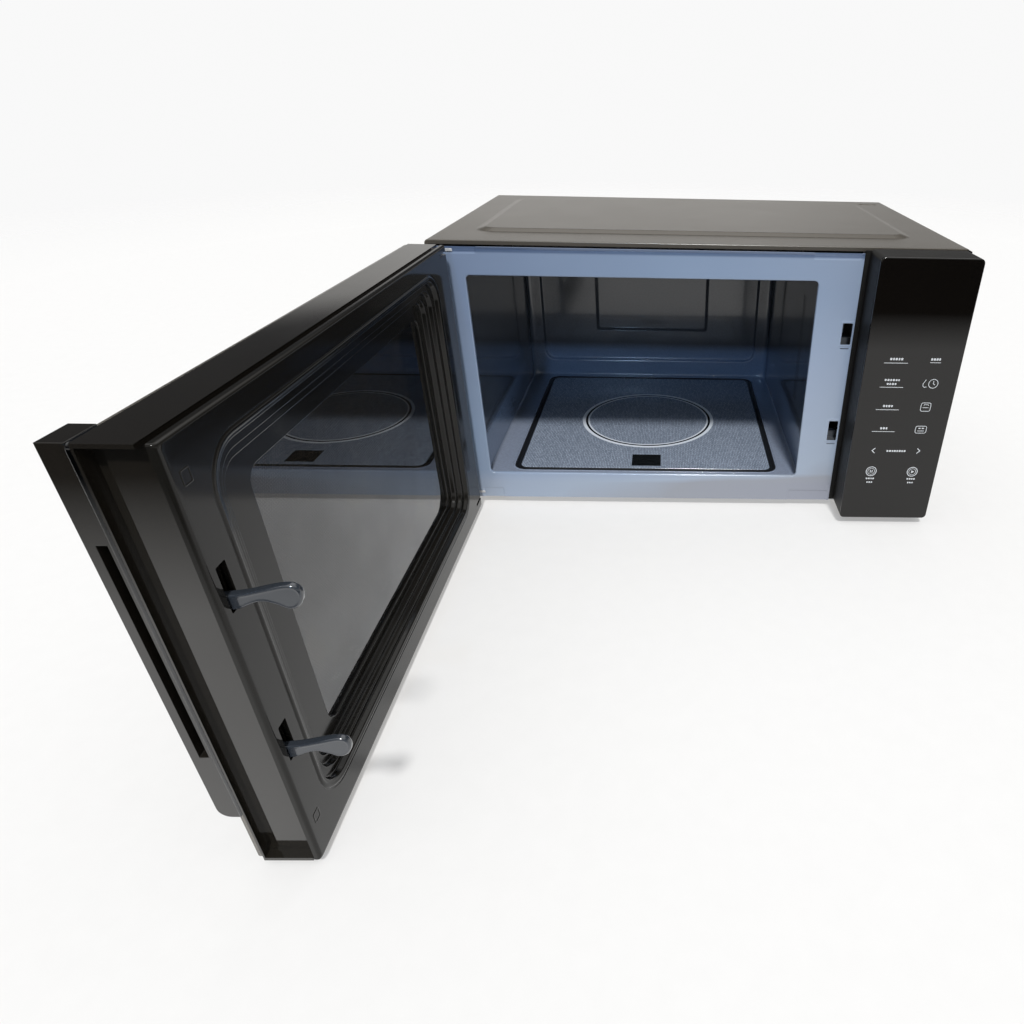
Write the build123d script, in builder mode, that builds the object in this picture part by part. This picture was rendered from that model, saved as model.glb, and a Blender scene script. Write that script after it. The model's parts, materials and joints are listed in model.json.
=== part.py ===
from build123d import *
import os

os.makedirs("parts", exist_ok=True)

# ---------------------------------------------------------------------------
# Flatbed microwave oven with a grill, side-hinged door shown open.
# Millimetres. +Z up, -Y towards the user, +X to the user's right.
# Origin: centre of the cabinet footprint on the surface it stands on.
# ---------------------------------------------------------------------------

# cabinet
SHEET = 0.8
CAB_W = 513.0
CAB_X = CAB_W / 2
Z_BASE = 9.0  # underside of the base plate, which is the height of the feet
Z_TOP = 279.3  # flat border of the top sheet
Y_FACE = -164.0  # outer plane of the front plate
Y_HEM = -155.0  # front edge of the wrap
Y_REAR = 163.6
TOP_R = 4.0
FIELD_H = 2.4  # raised field on the top sheet
FIELD_X0, FIELD_X1 = -222.0, 217.0
FIELD_Y0, FIELD_Y1 = -109.0, 130.0
FIELD_SLOPE = 9.0

# front plate opening and latch slots
OPEN_X0, OPEN_X1 = -219.6, 114.5
OPEN_Z0, OPEN_Z1 = 39.1, 249.2
OPEN_R = 4.0
PLATE_X0, PLATE_X1 = -253.4, 154.7
PLATE_TOP = 275.0
SLOT_X0, SLOT_X1 = 143.1, 152.9
UP_SLOT_Z0, UP_SLOT_Z1 = 188.0, 209.6
LO_SLOT_Z0, LO_SLOT_Z1 = 83.0, 105.5

# cavity, measured inside
CAV_X0, CAV_X1 = -223.4, 117.9
CAV_Y1 = 152.0
CAV_Z0, CAV_Z1 = 37.0, 256.0

# floor plate and the turning antenna under it
PLATE = 281.0
SEAL_OUT = 294.0
PLATE_T = 4.0
AX, AY = -51.0, -5.5  # vertical axis of the antenna and the centre of the floor plate
SHAFT_R = 3.0
RUN = 0.05  # running clearance on radius

# control panel
PAN_X0, PAN_X1 = 159.5, 252.8
PAN_Y = -200.9
FASCIA_T = 2.2
PAN_R = 4.5

# door, drawn open at 90 degrees
HX, HY = -247.5, -181.5  # vertical hinge axis
PIN_R = 3.0
DX_OUT = -267.4  # face of the front glass
GLASS_T = 2.5
DX_IN = -231.0  # face of the inner cover
DY_HINGE = -173.0
DY_FREE = -586.4
D_Z0, D_Z1 = 4.6, 278.3
GLASS_Z0, GLASS_Z1 = 6.7, 278.0
CHANNEL = 5.6  # depth of the channel in the free end

# hooks on the latch lever
HOOK_Y = -577.0
HOOK_T = 5.2
HOOK_PITCH = 102.4
LATCH_LIFT = 4.0

# cooling fan
FAN_X, FAN_Y, FAN_Z = 180.0, 72.0, 100.0


def block(x0, x1, y0, y1, z0, z1, mode=Mode.ADD):
    """A box between two corners, in the part that is being built."""
    with Locations(((x0 + x1) / 2, (y0 + y1) / 2, (z0 + z1) / 2)):
        Box(x1 - x0, y1 - y0, z1 - z0, mode=mode)


def rod_z(x, y, z0, z1, r, mode=Mode.ADD):
    with Locations((x, y, (z0 + z1) / 2)):
        Cylinder(r, z1 - z0, mode=mode)


def rod_x(x0, x1, y, z, r, mode=Mode.ADD):
    with Locations(Location(((x0 + x1) / 2, y, z), (0, 90, 0))):
        Cylinder(r, x1 - x0, mode=mode)


def rod_y(x, y0, y1, z, r, mode=Mode.ADD):
    with Locations(Location((x, (y0 + y1) / 2, z), (90, 0, 0))):
        Cylinder(r, y1 - y0, mode=mode)


def slab_z(x0, x1, y0, y1, z0, z1, r, mode=Mode.ADD):
    """A flat plate with rounded vertical edges."""
    with BuildSketch(Plane.XY.offset(z0)) as outline:
        with Locations(((x0 + x1) / 2, (y0 + y1) / 2)):
            RectangleRounded(x1 - x0, y1 - y0, r)
    extrude(outline.sketch, amount=z1 - z0, mode=mode)


def slab_y(x0, x1, z0, z1, y0, y1, r, mode=Mode.ADD):
    """A plate facing the user, with rounded corners, from y0 back to y1."""
    with BuildSketch(Plane.XZ.offset(-y1)) as outline:
        with Locations(((x0 + x1) / 2, (z0 + z1) / 2)):
            RectangleRounded(x1 - x0, z1 - z0, r)
    extrude(outline.sketch, amount=y1 - y0, mode=mode)


def slab_x(y0, y1, z0, z1, x0, x1, r, mode=Mode.ADD):
    """A plate standing along the door, with rounded corners, from x0 to x1."""
    with BuildSketch(Plane.YZ.offset(x0)) as outline:
        with Locations(((y0 + y1) / 2, (z0 + z1) / 2)):
            RectangleRounded(y1 - y0, z1 - z0, r)
    extrude(outline.sketch, amount=x1 - x0, mode=mode)


def save(piece, label):
    piece.label = label
    export_step(piece, f"parts/{label}.step")


# ---------------------------------------------------------------------------
# Cabinet sheet metal
# ---------------------------------------------------------------------------

# wrap of top and two sides, with a raised field on top and air slots
with BuildPart() as outer_cabinet:
    with BuildSketch(Plane.XZ.offset(-Y_REAR)):
        with Locations((0, (Z_BASE + Z_TOP) / 2)):
            Rectangle(CAB_W, Z_TOP - Z_BASE)
        fillet(vertices().group_by(Axis.Y)[-1], TOP_R)
    extrude(amount=Y_REAR - Y_HEM)
    with BuildSketch(Plane.XY.offset(Z_TOP)):
        with Locations(((FIELD_X0 + FIELD_X1) / 2, (FIELD_Y0 + FIELD_Y1) / 2)):
            RectangleRounded(FIELD_X1 - FIELD_X0, FIELD_Y1 - FIELD_Y0, 20)
    with BuildSketch(Plane.XY.offset(Z_TOP + FIELD_H)):
        with Locations(((FIELD_X0 + FIELD_X1) / 2, (FIELD_Y0 + FIELD_Y1) / 2)):
            RectangleRounded(
                FIELD_X1 - FIELD_X0 - 2 * FIELD_SLOPE,
                FIELD_Y1 - FIELD_Y0 - 2 * FIELD_SLOPE,
                11,
            )
    loft()
    with BuildSketch(Plane.XZ.offset(-Y_REAR - 1)):
        with Locations((0, (Z_TOP - SHEET) / 2)):
            Rectangle(CAB_W - 2 * SHEET, Z_TOP - SHEET)
        fillet(vertices().group_by(Axis.Y)[-1], TOP_R - SHEET)
    extrude(amount=Y_REAR - Y_HEM + 2, mode=Mode.SUBTRACT)
    with BuildSketch(Plane.XY.offset(Z_TOP - SHEET)):
        with Locations(((FIELD_X0 + FIELD_X1) / 2, (FIELD_Y0 + FIELD_Y1) / 2)):
            RectangleRounded(FIELD_X1 - FIELD_X0, FIELD_Y1 - FIELD_Y0, 20)
    with BuildSketch(Plane.XY.offset(Z_TOP + FIELD_H - SHEET)):
        with Locations(((FIELD_X0 + FIELD_X1) / 2, (FIELD_Y0 + FIELD_Y1) / 2)):
            RectangleRounded(
                FIELD_X1 - FIELD_X0 - 2 * FIELD_SLOPE,
                FIELD_Y1 - FIELD_Y0 - 2 * FIELD_SLOPE,
                11,
            )
    loft(mode=Mode.SUBTRACT)
    # folded front hem
    block(-250, 250, Y_HEM, Y_HEM + SHEET, 275.4, Z_TOP - SHEET)
    for side in (-1, 1):
        x0, x1 = sorted((side * (CAB_X - SHEET), side * 254.4))
        block(x0, x1, Y_HEM, Y_HEM + SHEET, 12, 270)
    # air intake slots on the right, exhaust slots on the left
    with BuildSketch(Plane.YZ.offset(CAB_X - 3)):
        with Locations((112, 130)):
            with GridLocations(7, 27, 10, 4):
                SlotOverall(20, 2.8, rotation=90)
    extrude(amount=6, mode=Mode.SUBTRACT)
    with BuildSketch(Plane.YZ.offset(-CAB_X - 3)):
        with Locations((105, 232)):
            with GridLocations(7, 27, 9, 2):
                SlotOverall(20, 2.8, rotation=90)
    extrude(amount=6, mode=Mode.SUBTRACT)
save(outer_cabinet.part, "outer_cabinet")

# base plate with folded rims, motor pocket and air slots
with BuildPart() as base_plate:
    block(-255.2, 255.2, -163.0, 161.0, Z_BASE, Z_BASE + 1)
    block(-255.2, -254.2, -152, 161.0, Z_BASE, 22)
    block(254.2, 255.2, -152, 161.0, Z_BASE, 22)
    rod_z(AX, AY, 3.4, Z_BASE, 28.5)
    rod_z(AX, AY, 4.4, Z_BASE + 1, 27.5, mode=Mode.SUBTRACT)
    with BuildSketch(Plane.XY.offset(Z_BASE)):
        with Locations((164, 112)):
            with GridLocations(9, 30, 9, 2):
                SlotOverall(24, 3.2, rotation=90)
        with Locations((-150, 105)):
            with GridLocations(9, 30, 9, 1):
                SlotOverall(24, 3.2, rotation=90)
    extrude(amount=1, mode=Mode.SUBTRACT)
save(base_plate.part, "base_plate")

# rear plate with rims, air slots, cord opening
with BuildPart() as rear_plate:
    block(-254.0, 254.0, 161.4, 162.2, 10.2, 277.6)
    block(-254.0, -253.2, 152.5, 162.2, 24, 277.6)
    block(253.2, 254.0, 152.5, 162.2, 24, 277.6)
    block(-250, 250, 156, 162.2, 276.8, 277.6)
    with BuildSketch(Plane.XZ.offset(-160)):
        with Locations((176, 120)):
            with GridLocations(8, 28, 13, 4):
                SlotOverall(20, 3.2, rotation=90)
        with Locations((-120, 225)):
            with GridLocations(8, 28, 12, 2):
                SlotOverall(20, 3.2, rotation=90)
    extrude(amount=-4, mode=Mode.SUBTRACT)
    rod_y(226, 160, 164, 40, 9.0, mode=Mode.SUBTRACT)
save(rear_plate.part, "rear_plate")

# front plate: the face around the cavity, set back behind the control housing
with BuildPart() as front_plate:
    block(PLATE_X0, PLATE_X1, Y_FACE, Y_FACE + SHEET, Z_BASE, PLATE_TOP)
    block(PLATE_X1 - SHEET, PLATE_X1, Y_FACE, Y_FACE + 2, 10.2, PLATE_TOP)
    block(PLATE_X1 - SHEET, 253.4, Y_FACE + 1.2, Y_FACE + 2, 10.2, PLATE_TOP)
    # returns at the top and sides
    block(PLATE_X0, 253.4, Y_FACE + 1.2, -150, PLATE_TOP - SHEET, PLATE_TOP)
    block(PLATE_X0, PLATE_X1, Y_FACE, Y_FACE + 2, PLATE_TOP - SHEET, PLATE_TOP)
    block(PLATE_X0, PLATE_X0 + SHEET, Y_FACE, -153, 24, PLATE_TOP)
    block(253.4 - SHEET, 253.4, Y_FACE + 1.2, -153, 24, PLATE_TOP)
    # cavity mouth
    slab_y(
        OPEN_X0,
        OPEN_X1,
        OPEN_Z0,
        OPEN_Z1,
        Y_FACE - 1,
        Y_FACE + 1,
        OPEN_R,
        mode=Mode.SUBTRACT,
    )
    # latch slots
    block(SLOT_X0, SLOT_X1, -165, -163, UP_SLOT_Z0, UP_SLOT_Z1, mode=Mode.SUBTRACT)
    block(SLOT_X0, SLOT_X1, -165, -163, LO_SLOT_Z0, LO_SLOT_Z1, mode=Mode.SUBTRACT)
    # wiring opening behind the control housing
    block(176, 236, -164, -160, 60, 245, mode=Mode.SUBTRACT)
    # slots for the hinge plates
    block(-253.1, -236.9, -165, -163, 270.8, 273.2, mode=Mode.SUBTRACT)
    block(-253.1, -236.9, -165, -163, 13.8, 16.2, mode=Mode.SUBTRACT)
save(front_plate.part, "front_plate")

# ---------------------------------------------------------------------------
# Cavity
# ---------------------------------------------------------------------------

GRILL_X0, GRILL_X1 = -181.0, 76.0
GRILL_Y0, GRILL_Y1 = -121.0, 81.0
GRILL_H = 15.0

with BuildPart() as cavity_liner:
    block(
        CAV_X0 - SHEET,
        CAV_X1 + SHEET,
        Y_FACE + SHEET,
        CAV_Y1 + SHEET,
        CAV_Z0 - SHEET,
        CAV_Z1 + SHEET,
    )
    fillet(edges().filter_by(Axis.Z).group_by(Axis.Y)[-1], 9 + SHEET)
    block(CAV_X0, CAV_X1, -170, CAV_Y1 - 20, CAV_Z0, CAV_Z1, mode=Mode.SUBTRACT)
    slab_z(CAV_X0, CAV_X1, -150, CAV_Y1, CAV_Z0, CAV_Z1, 9, mode=Mode.SUBTRACT)
    # opening in the floor for the plate and its seal
    slab_z(
        AX - SEAL_OUT / 2,
        AX + SEAL_OUT / 2,
        AY - SEAL_OUT / 2,
        AY + SEAL_OUT / 2,
        CAV_Z0 - 2,
        CAV_Z0 + 1,
        10,
        mode=Mode.SUBTRACT,
    )
    # opening in the ceiling for the grill pan
    block(
        GRILL_X0,
        GRILL_X1,
        GRILL_Y0,
        GRILL_Y1,
        CAV_Z1 - 1,
        CAV_Z1 + 2,
        mode=Mode.SUBTRACT,
    )
    # perforated column in the right wall, for light and air
    with BuildSketch(Plane.YZ.offset(CAV_X1 - 1)):
        with Locations((-91, 159)):
            with GridLocations(4.4, 4.4, 4, 27):
                Circle(1.4)
    extrude(amount=3, mode=Mode.SUBTRACT)
    # steam holes high in the left wall
    with BuildSketch(Plane.YZ.offset(CAV_X0 - 2)):
        with Locations((60, 236)):
            with GridLocations(5, 5, 9, 3):
                Circle(1.4)
    extrude(amount=3, mode=Mode.SUBTRACT)
save(cavity_liner.part, "cavity_liner")

# pressed well under the floor plate: weld flange, ledge for the plate, pan
WELL = SEAL_OUT / 2
with BuildPart() as stirrer_well:
    slab_z(AX - 154, AX + 154, AY - 154, AY + 154, 35.4, 36.2, 12)
    slab_z(
        AX - WELL - 0.8,
        AX + WELL + 0.8,
        AY - WELL - 0.8,
        AY + WELL + 0.8,
        32.2,
        36.2,
        10.8,
    )
    slab_z(AX - 131.8, AX + 131.8, AY - 131.8, AY + 131.8, 26, 33, 12.8)
    slab_z(
        AX - WELL,
        AX + WELL,
        AY - WELL,
        AY + WELL,
        33,
        40,
        10,
        mode=Mode.SUBTRACT,
    )
    slab_z(AX - 131, AX + 131, AY - 131, AY + 131, 26.8, 34, 12, mode=Mode.SUBTRACT)
    rod_z(AX, AY, 25, 28, 24, mode=Mode.SUBTRACT)
save(stirrer_well.part, "stirrer_well")

with BuildPart() as floor_plate:
    slab_z(
        AX - PLATE / 2,
        AX + PLATE / 2,
        AY - PLATE / 2,
        AY + PLATE / 2,
        CAV_Z0 - PLATE_T,
        CAV_Z0,
        6,
    )
save(floor_plate.part, "floor_plate")

with BuildPart() as floor_seal:
    slab_z(
        AX - WELL,
        AX + WELL,
        AY - WELL,
        AY + WELL,
        CAV_Z0 - PLATE_T,
        CAV_Z0,
        10,
    )
    slab_z(
        AX - PLATE / 2,
        AX + PLATE / 2,
        AY - PLATE / 2,
        AY + PLATE / 2,
        CAV_Z0 - PLATE_T - 1,
        CAV_Z0 + 1,
        6,
        mode=Mode.SUBTRACT,
    )
save(floor_seal.part, "floor_seal")

# waveguide: tall launcher beside the cavity, low run under it
with BuildPart() as waveguide:
    block(AX - 45, 160, AY - 40.8, AY + 40.8, 15.2, 26.0)
    block(121, 215, AY - 40.8, AY + 40.8, 11.0, 48.0)
    block(AX - 44.2, 200, AY - 40, AY + 40, 16.0, 25.2, mode=Mode.SUBTRACT)
    block(121.8, 214.2, AY - 40, AY + 40, 11.8, 47.2, mode=Mode.SUBTRACT)
    rod_z(AX, AY, 24, 27, 24, mode=Mode.SUBTRACT)
    rod_z(AX, AY, 14, 17, 4.5, mode=Mode.SUBTRACT)
    rod_z(170, AY, 46, 49, 11, mode=Mode.SUBTRACT)
save(waveguide.part, "waveguide")

# field antenna on its shaft
with BuildPart() as stirrer_antenna:
    with BuildSketch(Plane.XY.offset(29)):
        with Locations((AX, AY)):
            Circle(46)
        with Locations((AX + 26, AY)):
            Rectangle(62, 34)
        with Locations((AX - 24, AY + 14)):
            SlotOverall(26, 8, rotation=25, mode=Mode.SUBTRACT)
        with Locations((AX - 20, AY - 18)):
            SlotOverall(26, 8, rotation=-25, mode=Mode.SUBTRACT)
        with Locations((AX + 34, AY)):
            SlotOverall(24, 7, rotation=90, mode=Mode.SUBTRACT)
    extrude(amount=1.2)
    rod_z(AX, AY, 26, 29, 7)
    rod_z(AX, AY, 8.4, 26, SHAFT_R)
save(stirrer_antenna.part, "stirrer_antenna")

with BuildPart() as stirrer_motor:
    rod_z(AX, AY, 4.6, 15.2, 25)
    rod_z(AX, AY, 8.0, 16, SHAFT_R + RUN, mode=Mode.SUBTRACT)
    block(AX + 24, AX + 38, AY - 6, AY + 6, 10.2, 11.6)
    block(AX - 38, AX - 24, AY - 6, AY + 6, 10.2, 11.6)
save(stirrer_motor.part, "stirrer_motor")

# pan above the ceiling opening
with BuildPart() as grill_pan:
    block(-190, 85, -130, 90, 256.8, 257.6)
    block(-181.8, 76.8, -121.8, 81.8, 257, 256.8 + GRILL_H)
    block(-181, 76, -121, 81, 256, 256.0 + GRILL_H, mode=Mode.SUBTRACT)
    for y in (-80, 50):
        rod_x(74, 79, y, 263, 3.6, mode=Mode.SUBTRACT)
save(grill_pan.part, "grill_pan")

# sheathed heating element in the recess
with BuildPart() as grill_element:
    with BuildLine() as element_path:
        FilletPolyline(
            (96, -80, 263),
            (-155, -80, 263),
            (-155, -36.7, 263),
            (50, -36.7, 263),
            (50, 6.7, 263),
            (-155, 6.7, 263),
            (-155, 50, 263),
            (96, 50, 263),
            radius=20,
        )
    with BuildSketch(Plane(origin=(96, -80, 263), z_dir=(-1, 0, 0))):
        Circle(3.25)
    sweep()
    for y in (-80, 50):
        block(96, 106, y - 3.2, y + 3.2, 262.6, 263.4)
save(grill_element.part, "grill_element")

with BuildPart() as grill_clips:
    for y in (-80, -36.7, 6.7, 50):
        block(-62, -58, y - 6, y + 6, 257.9, 256.0 + GRILL_H)
        rod_x(-63, -57, y, 263, 3.3, mode=Mode.SUBTRACT)
save(grill_clips.part, "grill_clips")

# ---------------------------------------------------------------------------
# Control panel
# ---------------------------------------------------------------------------

with BuildPart() as control_housing:
    slab_y(
        PAN_X0,
        PAN_X1,
        Z_BASE,
        Z_TOP,
        PAN_Y + FASCIA_T,
        Y_FACE,
        PAN_R,
    )
    slab_y(
        PAN_X0 + 2.2,
        PAN_X1 - 2.2,
        Z_BASE + 2.2,
        Z_TOP - 2.2,
        PAN_Y + FASCIA_T + 2,
        Y_FACE + 1,
        PAN_R - 2,
        mode=Mode.SUBTRACT,
    )
    block(174, 240, -200, -195, 58, 262, mode=Mode.SUBTRACT)
    # skirt that lies flush beside the front plate
    block(155.0, PAN_X0 + 2.2, Y_FACE, Y_FACE + 1.2, 10.5, 278)
    block(PAN_X1 - 2.2, 253.2, Y_FACE, Y_FACE + 1.2, 10.5, 278)
save(control_housing.part, "control_housing")

with BuildPart() as control_fascia:
    slab_y(PAN_X0, PAN_X1, Z_BASE, Z_TOP, PAN_Y, PAN_Y + FASCIA_T, PAN_R)
save(control_fascia.part, "control_fascia")

# touch and display board behind the fascia
with BuildPart() as display_board:
    block(172, 242, -193.6, -192.0, 56, 264)
    block(178, 236, -198.4, -193.6, 216, 250)
    for x in (189, 227):
        for z in (65, 89, 113, 138, 162):
            rod_y(x, -198.4, -193.6, z, 5)
save(display_board.part, "display_board")

with BuildPart() as control_board:
    block(168, 246, -176.0, -174.4, 34, 254)
    for z in (60, 86, 112):
        block(176, 192, -190.0, -176.0, z, z + 20)
    block(204, 238, -189, -176, 64, 104)
    for z in (150, 168, 186):
        rod_y(226, -188, -176, z, 6)
    block(180, 200, -182, -176, 150, 178)
    block(178, 236, -184, -176, 232, 244)
save(control_board.part, "control_board")

# ---------------------------------------------------------------------------
# Power parts beside the cavity
# ---------------------------------------------------------------------------

MGX = 170.0
with BuildPart() as magnetron_yoke:
    block(127, 213, -43.5, 32.5, 48.0, 114)
    block(128.5, 211.5, -50, 40, 49.5, 112.5, mode=Mode.SUBTRACT)
    rod_z(MGX, AY, 47, 50, 11, mode=Mode.SUBTRACT)
    rod_z(MGX, AY, 112, 115, 11, mode=Mode.SUBTRACT)
save(magnetron_yoke.part, "magnetron_yoke")

with BuildPart() as magnetron_core:
    rod_z(MGX, AY, 50, 62, 27)
    rod_z(MGX, AY, 100, 112, 27)
    rod_z(MGX, AY, 62, 100, 20)
    for z in (66, 72.5, 79, 85.5, 92):
        block(130, 210, -42, 31, z, z + 0.8)
    rod_z(MGX, AY, 24, 50, 8)
    rod_z(MGX, AY, 112, 122, 8)
save(magnetron_core.part, "magnetron_core")

with BuildPart() as magnetron_filter_box:
    block(148, 192, -27.5, 16.5, 114, 146)
    block(149, 191, -26.5, 15.5, 113, 145, mode=Mode.SUBTRACT)
    block(192, 206, -18, 7, 120, 138)
save(magnetron_filter_box.part, "magnetron_filter_box")

with BuildPart() as transformer_core:
    block(158.6, 252.6, -140, -90, 10, 88)
    block(170.6, 190.6, -141, -89, 26, 72, mode=Mode.SUBTRACT)
    block(220.6, 240.6, -141, -89, 26, 72, mode=Mode.SUBTRACT)
save(transformer_core.part, "transformer_core")

with BuildPart() as transformer_windings:
    for z0, z1 in ((27, 45), (50, 71)):
        with BuildSketch(Plane.XY.offset(z0)):
            with Locations((205.6, -115)):
                RectangleRounded(68, 68, 9)
                Rectangle(31, 51, mode=Mode.SUBTRACT)
        extrude(amount=z1 - z0)
save(transformer_windings.part, "transformer_windings")

with BuildPart() as capacitor:
    with BuildSketch(Plane.YZ.offset(132)):
        with Locations((100, 30)):
            SlotOverall(54, 36)
    extrude(amount=98)
    for y in (90, 110):
        block(230, 238, y - 3, y + 3, 29.6, 30.4)
save(capacitor.part, "capacitor")

with BuildPart() as hv_diode:
    rod_z(244, 100, 40, 62, 3.6)
    rod_z(244, 100, 28, 72, 0.6)
save(hv_diode.part, "hv_diode")

with BuildPart() as noise_filter_board:
    block(130, 244, 60, 150, 206, 207.6)
    block(150, 186, 84, 112, 207.6, 229)
    rod_z(212, 80, 207.6, 224, 13)
    block(196, 228, 112, 128, 207.6, 226)
    block(136, 142, 118, 148, 207.6, 213)
    block(168, 174, 118, 148, 207.6, 213)
save(noise_filter_board.part, "noise_filter_board")

with BuildPart() as mains_fuse:
    rod_x(142, 168, 133, 211, 2.9)
save(mains_fuse.part, "mains_fuse")

# fan shroud, motor, shaft and blade
with BuildPart() as fan_shroud:
    block(122, 252, 58, 60, 50, 154)
    rod_y(FAN_X, 60, 82, FAN_Z, 52.5)
    block(120, 250, 60.0, 90, 40, 58, mode=Mode.SUBTRACT)
    block(120, 250, 60.0, 90, 142, 160, mode=Mode.SUBTRACT)
    rod_y(FAN_X, 55, 90, FAN_Z, 50.5, mode=Mode.SUBTRACT)
    block(123, 129, 60, 86, 88, 112)
    block(231, 237, 60, 86, 88, 112)
    block(123, 158, 86, 88, 88, 112)
    block(202, 237, 86, 88, 88, 112)
save(fan_shroud.part, "fan_shroud")

with BuildPart() as fan_motor:
    block(150, 210, 88, 108, 76, 136)
    block(162, 198, 88, 108, 108, 126, mode=Mode.SUBTRACT)
    rod_y(FAN_X, 85, 88, FAN_Z, 11)
    rod_y(FAN_X, 108, 116, FAN_Z, 11)
    block(160, 200, 86.5, 109.5, 107.5, 126.5)
    rod_y(FAN_X, 80, 120, FAN_Z, 2 + RUN, mode=Mode.SUBTRACT)
save(fan_motor.part, "fan_motor")

with BuildPart() as fan_shaft:
    rod_y(FAN_X, 60, 118, FAN_Z, 2.0)
save(fan_shaft.part, "fan_shaft")

with BuildPart() as fan_blade:
    rod_y(FAN_X, 64, 80, FAN_Z, 10)
    for k in range(5):
        with Locations(
            Location((FAN_X, FAN_Y, FAN_Z))
            * Location((0, 0, 0), (0, 72 * k, 0))
            * Location((27, 0, 0), (35, 0, 0))
        ):
            Box(38, 16, 1.4)
    rod_y(FAN_X, 60, 84, FAN_Z, 2.0, mode=Mode.SUBTRACT)
save(fan_blade.part, "fan_blade")

# duct that leads air and lamp light to the perforated column
LAMP_Y = -77.0
with BuildPart() as air_duct:
    block(118.9, 128.4, -107, -72, 92, 226)
    block(118.9, 146, -94.5, -60, 92, 226)
    block(118, 126.9, -105.5, -55, 93.5, 224.5, mode=Mode.SUBTRACT)
    block(118, 144.5, -93, -55, 93.5, 224.5, mode=Mode.SUBTRACT)
    rod_x(143, 148, LAMP_Y, 200, 9, mode=Mode.SUBTRACT)
save(air_duct.part, "air_duct")

with BuildPart() as lamp_holder:
    rod_x(146, 162, LAMP_Y, 200, 14)
    rod_x(140, 146, LAMP_Y, 200, 8.8)
    rod_x(138, 156, LAMP_Y, 200, 7.0, mode=Mode.SUBTRACT)
    block(162, 170, LAMP_Y - 2, LAMP_Y + 2, 196, 204)
save(lamp_holder.part, "lamp_holder")

with BuildPart() as cavity_lamp:
    rod_x(139.6, 155.5, LAMP_Y, 200, 6.9)
    rod_x(128.5, 139.6, LAMP_Y, 200, 8.4)
    with Locations((128.5, LAMP_Y, 200)):
        Sphere(8.4)
save(cavity_lamp.part, "cavity_lamp")

with BuildPart() as thermal_cutouts:
    rod_x(118.7, 126, 110, 180, 8)
    rod_x(126, 132, 110, 180, 4)
    rod_x(213, 220, -5, 80, 8)
    rod_x(220, 226, -5, 80, 4)
save(thermal_cutouts.part, "thermal_cutouts")

# ---------------------------------------------------------------------------
# Latch bracket, switches and interlock levers behind the latch slots
# ---------------------------------------------------------------------------

HOOK_IN = HX + (HY - HOOK_Y)  # x of the hooks when the door is closed
PIV_Y = -127.0
UP_PIV_Z, LO_PIV_Z = 218.0, 115.6
TIP_Y = -131.4  # hook tips when the door is closed

with BuildPart() as latch_bracket:
    # front wall with entries for the hooks
    block(129.0, 158.5, -162.0, -160.0, 76, 230)
    block(141.5, 155.5, -163, -159, UP_SLOT_Z0 - 2, UP_SLOT_Z1 + 3, mode=Mode.SUBTRACT)
    block(141.5, 155.5, -163, -159, LO_SLOT_Z0 - 2, LO_SLOT_Z1 + 3, mode=Mode.SUBTRACT)
    # side walls
    block(129.0, 131.0, -162, -113.5, 90, 230)
    block(156.5, 158.5, -162, -113.5, 90, 230)
    # catches under the notch of each hook
    for top in (191.9, 191.9 - HOOK_PITCH):
        block(143.5, 156.5, -153, -146, top - 7, top)
        block(131.0, 156.5, -160, -146, top - 9, top - 7)
    # bores for the lever trunnions
    for z in (UP_PIV_Z, LO_PIV_Z):
        rod_x(128, 160, PIV_Y, z, 1.5 + RUN, mode=Mode.SUBTRACT)
    # posts for the switches
    for z in (200.0, 97.6):
        block(131, 156.5, -102.2, -100.2, z - 3, z + 3)
    block(129.0, 131.0, -113.5, -100, 80, 215)
    block(156.5, 158.5, -113.5, -100, 90, 215)
save(latch_bracket.part, "latch_bracket")


def switch_body(x0, x1, z_mid):
    """Snap switch: a block with a bore for its plunger and two terminals."""
    block(x0, x1, -118, -102.2, z_mid - 13.9, z_mid + 13.9)
    rod_y((x0 + x1) / 2, -119, -112, z_mid, 1.4 + RUN, mode=Mode.SUBTRACT)
    for dz in (-9, 9):
        block(
            (x0 + x1) / 2 - 2.5, (x0 + x1) / 2 + 2.5, -102.2, -96, z_mid + dz - 0.4, z_mid + dz + 0.4
        )


UP_SW_Z, LO_SW_Z = 200.0, 97.6
with BuildPart() as primary_switch:
    switch_body(143.0, 153.3, UP_SW_Z)
save(primary_switch.part, "primary_switch")

with BuildPart() as secondary_switch:
    switch_body(144.9, 155.2, LO_SW_Z)
save(secondary_switch.part, "secondary_switch")

with BuildPart() as monitor_switch:
    switch_body(133.4, 143.7, LO_SW_Z)
save(monitor_switch.part, "monitor_switch")

with BuildPart() as primary_plunger:
    rod_y(148.15, -120.4, -114.2, UP_SW_Z, 1.4)
save(primary_plunger.part, "primary_plunger")

with BuildPart() as lower_plungers:
    rod_y(150.05, -120.4, -114.2, LO_SW_Z, 1.4)
    rod_y(138.55, -120.4, -114.2, LO_SW_Z, 1.4)
save(lower_plungers.part, "lower_plungers")


def interlock_lever(x0, x1, z_piv, z_sw, z_low):
    """Lever that hangs from its trunnions, between a hook and the plungers."""
    rod_x(129.2, 158.3, PIV_Y, z_piv, 1.5)
    rod_x(132.0, 155.5, PIV_Y, z_piv, 3.5)
    block(x0, x1, -129.2, -126.2, z_low, z_piv)
    block(x0, x1, -127.0, -120.6, z_sw - 2, z_sw + 2)


with BuildPart() as upper_interlock_lever:
    interlock_lever(143.5, 153.5, UP_PIV_Z, UP_SW_Z, 190.0)
save(upper_interlock_lever.part, "upper_interlock_lever")

with BuildPart() as lower_interlock_lever:
    interlock_lever(136.5, 153.5, LO_PIV_Z, LO_SW_Z, 87.6)
save(lower_interlock_lever.part, "lower_interlock_lever")

# ---------------------------------------------------------------------------
# Hinges
# ---------------------------------------------------------------------------


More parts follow.
